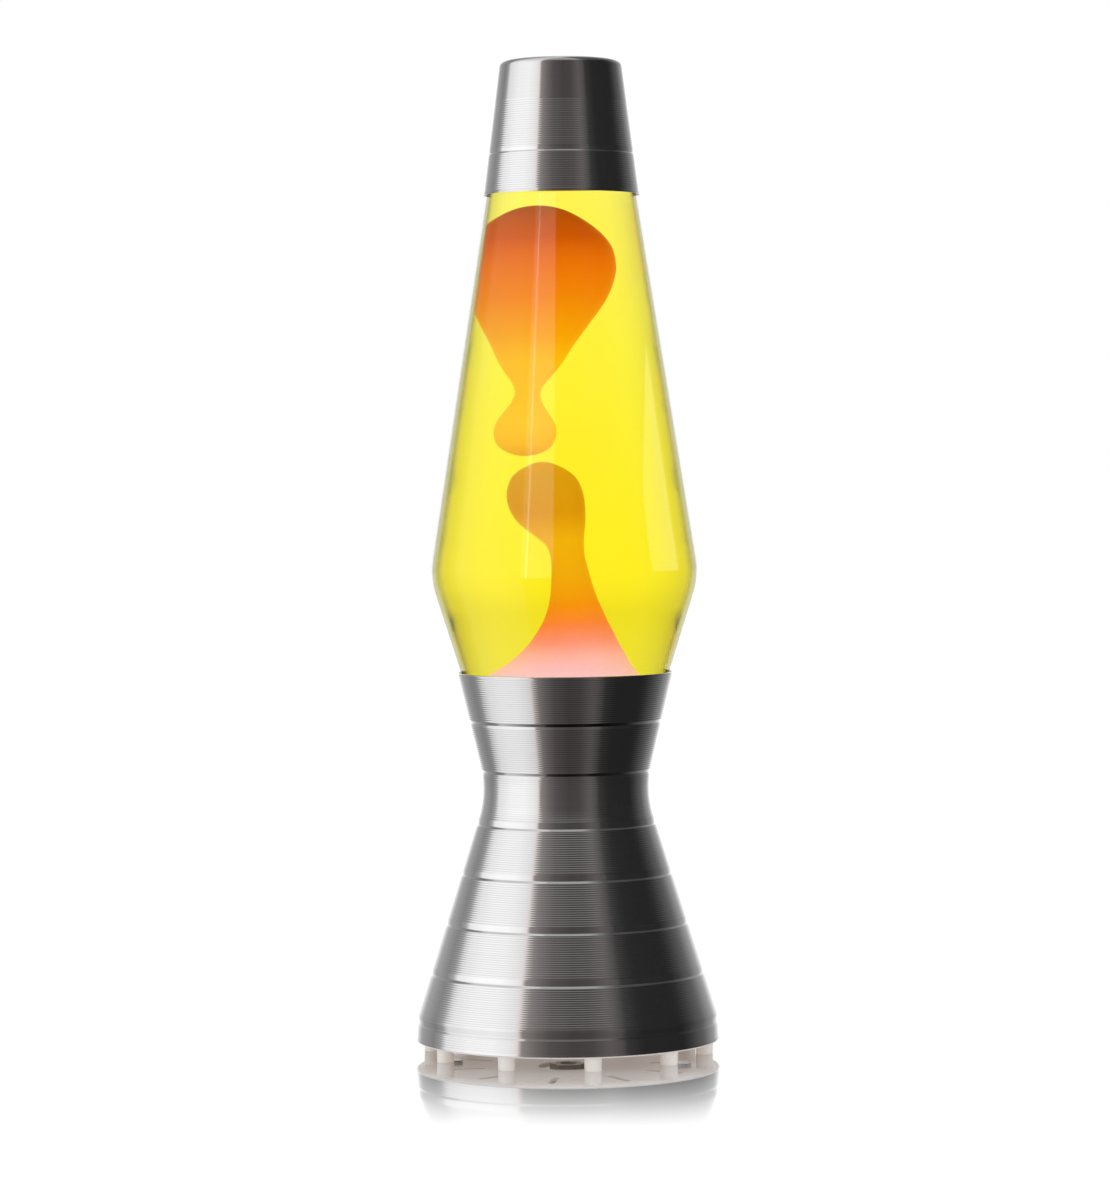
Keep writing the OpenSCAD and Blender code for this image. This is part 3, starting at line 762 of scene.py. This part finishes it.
def bottle_mesh():
    outer = evenly(BOTTLE_PATH, 2.5)[1]
    outer[0, 0] = 0
    bead = np.array([(13.4, 407), (14.1, 407.15), (14.4, 407.6), (14.4, 411.3), (14.2, 411.8),
                     (13.7, NECK_TOP), (11.9, NECK_TOP), (11.35, 411.8), (11.2, 411.2)])
    inner = np.vstack([[(11.2, 406.5)], HOLLOW[::-1], [(0, FLOOR_Z)]])
    return skin("bottle_blown", rings(np.vstack([outer, bead, inner]), BOTTLE_SIDES), sharp=60)


bottle = place("bottle_blown", bottle_mesh(), glass_material(), "bottle", ["glass_bottle"])
print("clear width inside the belly in mm:", round(2 * float(HOLLOW[:, 0].max()), 1))

# %% [markdown]
# ## Lights on the glass
# A clear bottle shows its shape by the long soft lights in it. There are three: a thin tube and a
# wide pale panel in front and to the left, and a low panel on the right. They are linked to the
# bottle and its liquid alone, so they put no marks on the metal.

# %% Hang the lights
GLASS_LIGHTS = [("tube", -33, 17, 0.05, 1.5, 3.5), ("panel", -24, 18, 0.80, 1.6, 1.4),
                ("low_panel", 98, 5, 1.0, 0.42, 1.3)]
LIGHT_DISTANCE = 1.6
LIGHT_AIM_Z = 0.27


def hang_lights(receivers):
    """Each row is a name, a turn angle, an elevation, a width, a height and a brightness. An
    area light of brightness b gives off b times pi times its area in watts."""
    group = bpy.data.collections.new("lit by the glass lights")
    for piece in receivers:
        group.objects.link(piece)
    for name, turn, up, width, height, bright in GLASS_LIGHTS:
        data = bpy.data.lights.new(name, "AREA")
        data.shape = "RECTANGLE"
        data.size, data.size_y = width, height
        data.energy = bright * math.pi * width * height
        light = bpy.data.objects.new(name, data)
        bpy.context.scene.collection.objects.link(light)
        a, e = math.radians(turn), math.radians(up)
        reach = LIGHT_DISTANCE * math.cos(e)
        light.location = (reach * math.sin(a), -reach * math.cos(a),
                          LIGHT_AIM_Z + LIGHT_DISTANCE * math.sin(e))
        light.rotation_euler = (math.pi / 2 - e, 0, a)
        light.visible_camera = False
        light.visible_transmission = False
        light.light_linking.receiver_collection = group


print("lights on the glass:", len(GLASS_LIGHTS))

# %% [markdown]
# ## The liquid
# The liquid is water with a yellow dye. It fills the bottle to just above the cap's edge. It is
# a solid block that follows the glass, with no hollows for the wax: wax that sits inside clear
# liquid only needs to be in front of what lies behind it. The liquid bends light, which spreads
# the wax sideways like a lens. The colour is not painted on. The dye takes out a share of blue
# light, and a small share of green, for every millimetre that the light travels, so the liquid
# is palest where it is thinnest.

# %% Fill the bottle
LEVEL_Z = 380
DYE_PER_METRE = 38.0
DYE_GREEN = 1.7
WATER_IOR = 1.36
EDGE_FROM = 0.60
EDGE_TO = 0.80
EDGE_TINT = (0.84, 0.83, 0.82, 1)


def liquid_material():
    """Clear at its surface; inside it, light fades by exp(-k x) with k for each colour. Along the
    bottle's very edge a bent ray would run round inside it many times, so there the surface
    turns by degrees into one that lets light straight through, a little dimmed."""
    material, tree, output = empty_material("dyed liquid")
    bending = add_node(tree, "BsdfPrincipled", Base_Color=WHITE, Roughness=0.0, IOR=WATER_IOR,
                       Transmission_Weight=1.0)
    straight_on = add_node(tree, "BsdfTransparent", Color=EDGE_TINT)
    edge = fade(tree, reading(tree, "LayerWeight", "Facing"), EDGE_FROM, EDGE_TO, 0.0, 1.0)
    dye = add_node(tree, "VolumeAbsorption", Density=DYE_PER_METRE,
                   Color=(1.0, 1 - DYE_GREEN / DYE_PER_METRE, 0.0, 1))
    feed(tree, output, Surface=shader_mix(tree, edge, bending, straight_on), Volume=dye)
    return material


def liquid_mesh():
    side = inside(HOLLOW, 0.05)
    side = side[(side[:, 1] > FLOOR_Z + 0.1) & (side[:, 1] < LEVEL_Z - 0.6)]
    top_r = side[-1, 0]
    bottom = [(0, FLOOR_Z + 0.05), (side[0, 0] - 0.4, FLOOR_Z + 0.05)]
    meniscus = [(top_r - 0.15, LEVEL_Z), (top_r - 0.9, LEVEL_Z - 0.5), (top_r - 2.5, LEVEL_Z - 0.9),
                (0, LEVEL_Z - 1.0)]
    return skin("liquid_fill", rings(np.vstack([bottom, side, meniscus]), BOTTLE_SIDES), sharp=40)


liquid = place("liquid_fill", liquid_mesh(), liquid_material(), "bottle", ["fluid"])
hang_lights([bottle, liquid])

# %% [markdown]
# ## The wax
# Warm wax is cloudy, and in the real lamp the bulb below lights it from inside. Here that light
# and its shade are painted into the wax's colour and into a painted glow: pinkish white at the
# foot, an orange glow in the middle and deep red-orange where it is thick and far from the bulb.
# The pool and the column are a stack of rings whose centres wander a little. The blob that rises
# is turned round its own leaning axis. Both are smoothed through a few key radii with a
# Catmull-Rom curve.

# %% Pour the wax
BLOB_KEYS = [(0, 256.9), (5.6, 258.5), (9.1, 262), (10.1, 267.4), (9.3, 271.6), (7.6, 275), (5.2, 279.6),
             (4.1, 284), (5.2, 288.2), (7.7, 292.4), (10.6, 298), (13.4, 305), (18.1, 315), (22.8, 325.5),
             (25, 335), (25, 342), (23, 349.5), (18.7, 355.6), (12.6, 360.9), (6.6, 364.2), (0, 365.4)]
BLOB_PIVOT = (-10.4, 300)
BLOB_LEAN = 3.3
POOL_Z = 152
COLUMN_KEYS = [(-1.5, 144, 42), (-1.5, 150, 37.5), (-1.6, 156, 34.5), (-1.6, 161, 31), (-1.2, 165.5, 26.8),
               (-0.3, 169, 23.4), (1.2, 173.5, 19.6), (2.3, 178, 16.8), (2.9, 182.5, 14.3), (3.3, 187, 12.4),
               (3.4, 192, 10.4), (3.3, 197, 8.9), (2.9, 202, 7.6), (2.1, 207, 6.3), (1.2, 212.5, 5.5),
               (0.3, 218, 6), (-1.6, 222.5, 8), (-3.9, 228, 10.7), (-5.3, 234, 12.1), (-6, 240, 12.3),
               (-6.3, 245.6, 11.1), (-6.5, 249.2, 9.1), (-6.6, 252.4, 5.4), (-6.6, 254.3, 0.6),
               (-6.6, 252.4, -5.4)]
WAX_Z = (134, 370)
# The wax's orange by height, with painted bulb light (pinkish white at the foot) and painted shade (deep
# red-orange far from the bulb).
WAX_TONES_AND_PAINTED_LIGHT = [(134, (0.93, 0.66, 0.50)), (159, (0.93, 0.66, 0.50)), (166, (0.90, 0.60, 0.85)),
             (177, (0.90, 0.43, 0.80)), (183, (0.88, 0.30, 0.56)), (190, (0.85, 0.235, 0.26)),
             (199, (0.79, 0.28, 0.03)), (208, (0.73, 0.39, 0.02)), (220, (0.72, 0.42, 0.02)),
             (233, (0.61, 0.29, 0.01)), (246, (0.61, 0.32, 0.02)), (256, (0.66, 0.38, 0.02)),
             (263, (0.82, 0.48, 0.03)), (272, (0.88, 0.55, 0.04)), (298, (0.85, 0.50, 0.01)),
             (309, (0.82, 0.365, 0.0)), (326, (0.78, 0.225, 0.0)), (339, (0.75, 0.165, 0.0)),
             (352, (0.62, 0.100, 0.0)), (364, (0.62, 0.120, 0.0))]
# Painted bulb light: a bluish glow added near the bulb, which turns the orange pinkish white.
PAINTED_BULB_GLOW = [(134, (0.10, 0.08, 0.08)), (159, (0.10, 0.08, 0.08)), (166, (0.04, 0.04, 0.72)),
             (174, (0.04, 0.04, 0.72)), (184, (0.0, 0.0, 0.288)), (192, (0.0, 0.0, 0.0))]
# Share of the tone that is added back as a painted glow for the bulb's light inside the wax.
WAX_PAINTED_GLOW = 0.52
WAX_DRIFT = 0.006


def by_height(stops):
    """Takes (height in mm, colour) stops to ramp stops that run from 0 to 1 over WAX_Z."""
    low, high = WAX_Z
    return [((z - low) / (high - low), colour) for z, colour in stops]


def wax_material():
    """Cloudy wax. Its tone runs with height, which drifts a little from place to place. The tones
    carry painted bulb light near the bulb and painted shade far from it. The same tone is added
    again as a painted glow that stands in for the bulb's light inside the wax. Near the bulb a
    second painted glow is added. It is bluish above the pool, which turns the orange pinkish
    white, and dies out by the top of the column's foot."""
    material, tree, shader = new_material("lamp wax with painted glow")
    z = parts_of(tree, reading(tree, "TexCoord", "Object"))[2]
    drift = math_node(tree, "MULTIPLY", noise_node(tree, 30, 2), WAX_DRIFT)
    above = math_node(tree, "SUBTRACT", math_node(tree, "ADD", z, drift), WAX_Z[0] * MM + WAX_DRIFT / 2)
    up = math_node(tree, "DIVIDE", above, (WAX_Z[1] - WAX_Z[0]) * MM)
    tone = ramp_node(tree, up, by_height(WAX_TONES_AND_PAINTED_LIGHT))
    # Painted glow: the tone again, standing in for the bulb's light inside the wax.
    own = times(tree, tone, (WAX_PAINTED_GLOW, WAX_PAINTED_GLOW, WAX_PAINTED_GLOW))
    glow = mix_node(tree, 1.0, own, ramp_node(tree, up, by_height(PAINTED_BULB_GLOW)), "ADD")
    feed(tree, shader, Base_Color=tone, Emission_Color=glow, Emission_Strength=1.0, Roughness=0.35,
         IOR=1.1)
    return material


WAX = wax_material()


def blob_mesh():
    """Turns the blob's outline round a vertical axis, then leans it towards +X:
    (x, z) becomes (x cos a + z sin a, z cos a - x sin a)."""
    (r0, z0), (r1, z1) = BLOB_KEYS[1], BLOB_KEYS[-2]
    path = smooth_keys([(-r0, z0), *BLOB_KEYS, (-r1, z1)], 10)
    path[0, 0] = path[-1, 0] = 0
    grid = rings(path - (0, BLOB_PIVOT[1]))
    x, z, a = grid[..., 0].copy(), grid[..., 2].copy(), math.radians(BLOB_LEAN)
    grid[..., 0] = x * math.cos(a) + z * math.sin(a) + BLOB_PIVOT[0]
    grid[..., 2] = z * math.cos(a) - x * math.sin(a) + BLOB_PIVOT[1]
    return skin("wax_blob_smooth", grid)


def column_mesh():
    """Rings (centre + r cos a, r sin a, height): the pool's bottom and side, then the column."""
    keys = smooth_keys(COLUMN_KEYS, 10)
    keys = keys[(keys[:, 1] > POOL_Z) & (keys[:, 2] > 0)]
    side = inside(HOLLOW, 0.12)
    side = side[(side[:, 1] > FLOOR_Z + 0.5) & (side[:, 1] < POOL_Z - 0.5)]
    pool = np.vstack([[(0, FLOOR_Z + 0.1), (side[0, 0] - 0.5, FLOOR_Z + 0.1)], side,
                      [(side[-1, 0] - 0.1, POOL_Z - 0.3), (side[-1, 0] - 1.2, POOL_Z - 0.1), (37.4, POOL_Z)]])
    stack = np.vstack([np.insert(pool[:, [1, 0]], 0, 0, axis=1), keys, [(-6.6, 254.35, 0)]])
    grid = rings(stack[:, [2, 1]])
    grid[..., 0] += stack[:, :1]
    return skin("wax_column_smooth", grid)


place("wax_blob_smooth", blob_mesh(), WAX, "wax", ["wax_blob"])
place("wax_column_smooth", column_mesh(), WAX, "bottle", ["wax_column"])

# %% [markdown]
# ## The ring of wire
# A ring of coiled steel wire lies in the bottle's foot. Wax that has sunk breaks up on it and
# joins the pool again. It is one long helix bent into a circle.

# %% Coil the wire
COIL_R = 27
COIL_TUBE = 2.8
COIL_WIRE = 0.32
COIL_TURNS = 96


def coil_mesh():
    """A helix round a circle: with t once round the ring, the point is at radius
    R + c cos(N t) and height z + c sin(N t), where c is the helix's own radius."""
    t = turn_angles(COIL_TURNS * 12)
    c = COIL_TUBE - COIL_WIRE
    r = COIL_R + c * np.cos(COIL_TURNS * t)
    path = np.column_stack([r * np.cos(t), r * np.sin(t), FLOOR_Z + 3.2 + c * np.sin(COIL_TURNS * t)])
    return skin("wire_coil_wound", tube(path, COIL_WIRE, 8), join_rows=True)


place("wire_coil_wound", coil_mesh(), SPRING, "bottle", ["wire_coil"])

# %% [markdown]
# ## The closure
# The bottle is shut by a crown closure: a tinned steel cap with twenty-one flutes pressed round
# a soft liner. The flutes are a wave in the skirt's radius that dies out towards the top.

# %% Press the closure
FLUTES = 21


def closure_mesh():
    """Skirt radius = r - w (1 + cos(21 a)) / 2, where w grows towards the bottom edge."""
    outer = np.array([(15.95, 408.1), (15.8, 409), (15.5, 410.2), (15.1, 411.2), (14.85, 412),
                      (14.5, 412.7), (13.7, 413.05), (6, 413.1), (0, 413.1)])
    inner = outer + [(0, -0.3)]
    inner[:, 0] = np.maximum(outer[:, 0] - 0.3, 0)
    inner = inner[::-1]
    inner[-1] = (15.65, 408.1)
    path = np.vstack([inner, outer])
    grid = rings(path, FLUTES * 10)
    a = turn_angles(FLUTES * 10)
    w = 0.75 * (1 - step_between(path[:, 1], 408.1, 412.4)) * (path[:, 0] > 10)
    scale = 1 - w[:, None] * (1 + np.cos(FLUTES * a))[None, :] / 2 / 16
    grid[..., 0] *= scale
    grid[..., 1] *= scale
    return skin("closure_pressed", grid, sharp=60)


place("closure_pressed", closure_mesh(), TINNED, "bottle", ["crown_closure"])

# %% [markdown]
# ## Plastics, sleeves and black glass
# The plate, the bush, the lampholder and the terminal block are moulded plastic. Moulded faces
# have a faint spark-eroded grain and a slow change of tone, so each plastic is a pair of close
# colours mixed by noise, over a bump of about two hundredths of a millimetre.

# %% Mix the plastics
def plastic(name, dark, light, rough, grain=1200, depth=0.00002, coat=0.0, painted_glow=(0, 0, 0)):
    """A moulded plastic: two close tones, a rough range and a fine grain. `painted_glow` is a faint even
    painted glow, which lightens the plastic where it lies in shade."""
    material, tree, shader = new_material(name)
    tone = noise_node(tree, 70)
    feed(tree, shader, Base_Color=mix_node(tree, tone, dark, light), Coat_Weight=coat,
         Roughness=spread(tree, tone, *rough), Emission_Color=(*painted_glow, 1),
         Emission_Strength=1.0 if max(painted_glow) > 0 else 0.0)
    bump(tree, shader, noise_node(tree, grain, 2), depth, 0.4)
    return material


def striped(name, first, second, stripes):
    """A sleeve with two colours along it: the turn angle is stored in the piece's UV, and the
    second colour shows where sin(stripes x angle) is above 0."""
    material, tree, shader = new_material(name)
    turn = parts_of(tree, reading(tree, "TexCoord", "UV"))[0]
    wave = math_node(tree, "SINE", math_node(tree, "MULTIPLY", turn, 2 * math.pi * stripes))
    above = math_node(tree, "GREATER_THAN", wave, 0.0)
    feed(tree, shader, Base_Color=mix_node(tree, above, first, second),
         Roughness=spread(tree, noise_node(tree, 500), 0.35, 0.5))
    return material


# Painted light: the white moulding's faint glow lightens the plate's shaded underside.
PLATE = plastic("white moulding with painted glow", (0.80, 0.80, 0.79), (0.86, 0.86, 0.85), (0.38, 0.50),
                painted_glow=(0.125, 0.098, 0.082))
HOLDER = plastic("lampholder moulding", (0.74, 0.70, 0.60), (0.82, 0.78, 0.69), (0.30, 0.42))
BLOCK = plastic("terminal moulding", (0.82, 0.82, 0.78), (0.89, 0.88, 0.85), (0.26, 0.38))
LINER = plastic("closure liner", (0.60, 0.60, 0.58), (0.70, 0.70, 0.67), (0.5, 0.6), grain=500)
BROWN = plastic("brown sleeve", (0.13, 0.055, 0.025), (0.18, 0.08, 0.04), (0.30, 0.42))
BLUE = plastic("blue sleeve", (0.02, 0.10, 0.42), (0.03, 0.14, 0.52), (0.30, 0.42))
EARTH = striped("green and yellow sleeve", (0.05, 0.32, 0.06), (0.85, 0.72, 0.05), 2)
VITRITE = plastic("black glass", (0.008, 0.008, 0.009), (0.02, 0.02, 0.022), (0.08, 0.2),
                  depth=0.000005, coat=0.5)
PLASTICS = (PLATE, HOLDER, BLOCK, LINER, BROWN, BLUE, EARTH, VITRITE)
print("plastics:", ", ".join(m.name for m in PLASTICS))

# %% [markdown]
# ## The plate and the small metal parts
# These are the working CAD shapes. A real moulding or pressing has no perfectly sharp edge, so
# each is a copy with its doubled points merged and its edges broken by a small bevel. The bevel
# is a modifier, so the CAD shape under it stays exact.

# %% Break the edges of the CAD parts
SOFTENED = [
    ("base_plate", PLATE, "white_plastic", 0.35), ("cord_bush", PLATE, "white_plastic", 0.25),
    ("plate_screws", ZINC, "zinc_steel", 0.15), ("holder_strap", ZINC, "zinc_steel", 0.2),
    ("earth_tag", TINNED, "tinned_steel", 0.12), ("earth_screw", ZINC, "zinc_steel", 0.15),
    ("strap_nipple", SHADE_DARK_BRASS, "brass", 0.25), ("nipple_nut", SHADE_DARK_BRASS, "brass", 0.25),
    ("holder_cup", HOLDER, "holder_plastic", 0.35), ("holder_insert", HOLDER, "holder_plastic", 0.25),
    ("holder_skirt", HOLDER, "holder_plastic", 0.5), ("centre_contact", BRASS, "brass", 0.12),
    ("terminal_screws", BRASS, "brass", 0.15), ("terminal_block", BLOCK, "block_plastic", 0.3),
    ("block_screws", ZINC, "zinc_steel", 0.12), ("block_clamp_screws", BRASS, "brass", 0.1),
    ("closure_liner", LINER, "liner", 0.15), ("bulb_insulator", VITRITE, "black_glass", 0.12),
    ("bulb_tip", TINNED, "bulb_metal", 0.1),
]


def soften(node, material, slot, width):
    """A copy of a CAD node's mesh with merged points, smooth shading and bevelled edges."""
    mesh = nodes[node].data.copy()
    tidy_mesh(mesh, sharp=30, merge=0.005)
    piece = place(node + "_soft", mesh, material, nodes[node]["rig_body"], [node])
    bevel = piece.modifiers.new("edges", "BEVEL")
    bevel.width = width * MM
    bevel.segments = 2
    bevel.limit_method = "ANGLE"
    bevel.angle_limit = math.radians(40)


for row in SOFTENED:
    soften(*row)

# %% [markdown]
# ## The leads
# Two insulated leads run from the terminal block to the lampholder, and an earth lead to the
# tag on the strap. Each is a tube along a curve through a few points. Brown is live, blue is
# neutral and green with yellow is earth. The earth lead's stripes come from an angle that is
# stored round the tube.

# %% Run the leads
LEAD_R = 1.1
WIRE_Z = 11.8
BARREL_Z = 10.4
STRAP_ANGLE = math.radians(-8)


def route(points, steps=8):
    """The Catmull-Rom curve through all the points, steered straight on at both ends."""
    p = np.asarray(points, float)
    return smooth_keys(np.vstack([2 * p[0] - p[1], p, 2 * p[-1] - p[-2]]), steps)


def over_strap(x, y, z):
    """A point x along the strap's arm and y across it."""
    c, s = math.cos(STRAP_ANGLE), math.sin(STRAP_ANGLE)
    return (x * c - y * s, x * s + y * c, z)


def holder_lead(side):
    """From the block to the lampholder; side is -1 for the left lead and 1 for the right."""
    return route([(side * 10, 26, WIRE_Z), (side * 10, 21, WIRE_Z + 0.2), (side * 9, 17.5, 13.6),
                  (side * 6.5, 14.6, 15.6), (side * 5, 11.5, 16), (side * 5, 9, 16.6),
                  (side * 5, 7.6, 17.4)])


def store_turn(mesh, sides):
    """Writes the turn angle round a tube, from 0 to 1, into a UV map: vertex i of a ring is at
    i / sides. The last face of each ring runs on to 1."""
    layer = mesh.uv_layers.new(name="turn")
    index = np.zeros(len(mesh.loops), np.int32)
    mesh.loops.foreach_get("vertex_index", index)
    start = np.zeros(len(mesh.polygons), np.int32)
    total = np.zeros(len(mesh.polygons), np.int32)
    mesh.polygons.foreach_get("loop_start", start)
    mesh.polygons.foreach_get("loop_total", total)
    turn = ((index - 1) % sides) / sides
    face = np.repeat(np.arange(len(start)), total)
    highest = np.zeros(len(start))
    np.maximum.at(highest, face, turn)
    turn = np.where((turn == 0) & (highest[face] > 0.5), 1.0, turn)
    uv = np.column_stack([turn, np.zeros_like(turn)])
    layer.data.foreach_set("uv", uv.ravel().astype(np.float32))


def lead_piece(name, path, material, node):
    mesh = skin(name, closed_tube(path, LEAD_R, 16), sharp=50)
    store_turn(mesh, 16)
    return place(name, mesh, material, "base", [node])


lead_piece("live_lead_run", holder_lead(-1), BROWN, "live_lead")
lead_piece("neutral_lead_run", holder_lead(1), BLUE, "neutral_lead")
earth_path = route([(0, 26, WIRE_Z), (0, 21, WIRE_Z), (3.6, 18.2, 11.4), (12, 16.4, 11), (20.5, 15, 10.7),
                    over_strap(25.4, 13.6, BARREL_Z), over_strap(26, 10.5, BARREL_Z),
                    over_strap(26, 8, BARREL_Z), over_strap(26, 5.8, BARREL_Z)])
lead_piece("earth_lead_run", earth_path, EARTH, "earth_lead")

# %% [markdown]
# ## The threads
# The bulb's cap and the lampholder's sleeve are sheet metal rolled into the same round thread,
# with 2.82 mm from one turn to the next. A thread is a tube whose radius is a wave of height and
# turn angle together, so it climbs as it goes round.

# %% Roll the threads
THREAD_PITCH = 2.82
BULB_Z = 26.9


def threaded(profile, sides, amount, low, high):
    """Adds amount * cos(2 pi z / pitch - a) to the radius between two heights, fading out at
    both ends of the thread."""
    grid = rings(profile, sides)
    a = turn_angles(sides)
    r, z = profile[:, :1], profile[:, 1:]
    share = step_between(z, low, low + 1.2) * (1 - step_between(z, high - 1.2, high))
    radius = r + amount * share * np.cos(2 * np.pi * z / THREAD_PITCH - a[None, :])
    grid[..., 0] = radius * np.cos(a)
    grid[..., 1] = radius * np.sin(a)
    return grid


def straight(r, z0, z1, step=0.28):
    """A straight outline at one radius."""
    z = np.linspace(z0, z1, int(abs(z1 - z0) / step) + 2)
    return np.column_stack([np.full_like(z, r), z])


def bulb_cap_mesh():
    outer = np.vstack([[(2.3, 31.25), (5.4, 31.25), (5.9, 31.5)], straight(6.38, 32.0, 46.8),
                       [(6.6, 47.4), (7.2, 48.95)]])
    inner = np.vstack([[(6.9, 48.95), (6.3, 47.5)], straight(6.13, 46.8, 32.1),
                       [(5.6, 31.6), (2.3, 31.5)]])
    grid = threaded(np.vstack([outer, inner]), 64, 0.22, 31.6, 46.9)
    return skin("bulb_cap_threaded", grid, join_rows=True, sharp=50)


def sleeve_mesh():
    outer = straight(7.28, 43.4, 24.1)
    inner = straight(7.14, 24.1, 43.4)
    outline = np.vstack([inner[::-1], outer[::-1]])
    return skin("thread_sleeve_rolled", threaded(outline, 64, 0.1, 24.2, 43.3), join_rows=True, sharp=50)


place("bulb_cap_threaded", bulb_cap_mesh(), BULB_METAL, "bulb", ["bulb_cap"])
place("thread_sleeve_rolled", sleeve_mesh(), BRASS, "base", ["holder_thread"])

# %% [markdown]
# ## The bulb
# The bulb is a small reflector: its glass is silvered inside up to the rim, and its face is
# frosted, so the light goes up into the bottle. Inside it a glass stem holds two wires and the
# coiled filament between them. Only its face shows, and only when the bottle is lifted off.

# %% Blow the bulb
BULB_R = 25
BULB_TOP = BULB_Z + 85.1
RIM_HEIGHT = BULB_Z + 77
FILAMENT_Z = BULB_Z + 65.1
STEM_TOP = BULB_Z + 42


def envelope_outline():
    side = rounded([(6.2, BULB_Z + 16), (6.2, BULB_Z + 23, 4), (11, BULB_Z + 31, 8),
                    (12.3, BULB_Z + 45, 12), (BULB_R, BULB_Z + 68, 13), (BULB_R, BULB_Z + 79, 4),
                    (21.6, BULB_Z + 79.7)])
    a = np.radians(np.linspace(61.8, 90, 16))
    dome = np.column_stack([45.5 * np.cos(a), BULB_TOP - 45.5 + 45.5 * np.sin(a)])
    path = evenly(np.vstack([side, dome]), 0.8)[1]
    path[-1, 0] = 0
    return path


def bulb_glass():
    """Silver below the rim and frosted glass above it, with a soft change between them."""
    material, tree, shader = new_material("silvered and frosted glass")
    z = parts_of(tree, reading(tree, "TexCoord", "Object"))[2]
    frost = fade(tree, z, (RIM_HEIGHT - 1) * MM, (RIM_HEIGHT + 1) * MM, 0.0, 1.0)
    grain = noise_node(tree, 900)
    feed(tree, shader, Base_Color=mix_node(tree, frost, (0.86, 0.86, 0.87), (0.90, 0.90, 0.88)),
         Metallic=math_node(tree, "SUBTRACT", 1.0, frost), Roughness=spread(tree, grain, 0.12, 0.24),
         Transmission_Weight=math_node(tree, "MULTIPLY", frost, 0.25))
    bump(tree, shader, grain, 0.00001, 0.5)
    return material


def filament_mesh():
    """A fine helix along a half circle between the two wires."""
    loop = 1.2 + (FILAMENT_Z - STEM_TOP + 1) * math.tan(math.radians(14))
    turns = 40
    t = np.linspace(0, 1, turns * 10 + 1)
    winding = 2 * np.pi * turns * t
    r = loop + 0.3 * np.cos(winding)
    a = -np.pi * t
    path = np.column_stack([r * np.cos(a), r * np.sin(a), FILAMENT_Z + 0.4 + 0.3 * np.sin(winding)])
    return skin("filament_wound", closed_tube(path, 0.07, 6))


def filament_material():
    """Warm tungsten: a yellow-white glow that varies a little from turn to turn."""
    material, tree, shader = new_material("warm tungsten")
    pattern = noise_node(tree, 400)
    feed(tree, shader, Base_Color=mix_node(tree, pattern, (0.30, 0.28, 0.26), (0.42, 0.40, 0.38)),
         Metallic=1.0, Emission_Strength=2.0,
         Emission_Color=mix_node(tree, pattern, (1.0, 0.62, 0.25), (1.0, 0.78, 0.42)))
    return material


def stem_glass():
    """Clear pressed glass with faint streaks."""
    material, tree, shader = new_material("stem glass")
    streaks = noise_node(tree, 200)
    feed(tree, shader, Base_Color=mix_node(tree, streaks, (0.88, 0.92, 0.90), (0.96, 0.98, 0.97)),
         Roughness=spread(tree, streaks, 0.02, 0.08), Transmission_Weight=0.9)
    return material


envelope = envelope_outline()
glass_wall = inside(envelope, 0.9)[::-1]
glass_wall[0, 0] = 0
envelope_mesh = skin("bulb_envelope_blown", rings(np.vstack([glass_wall, envelope])), sharp=50)
place("bulb_envelope_blown", envelope_mesh, bulb_glass(), "bulb",
      ["bulb_envelope"])
place("filament_wound", filament_mesh(), filament_material(), "bulb", ["bulb_filament"])
soften("bulb_stem", stem_glass(), "stem_glass", 0.1)
soften("bulb_wires", SPRING, "bulb_metal", 0.05)
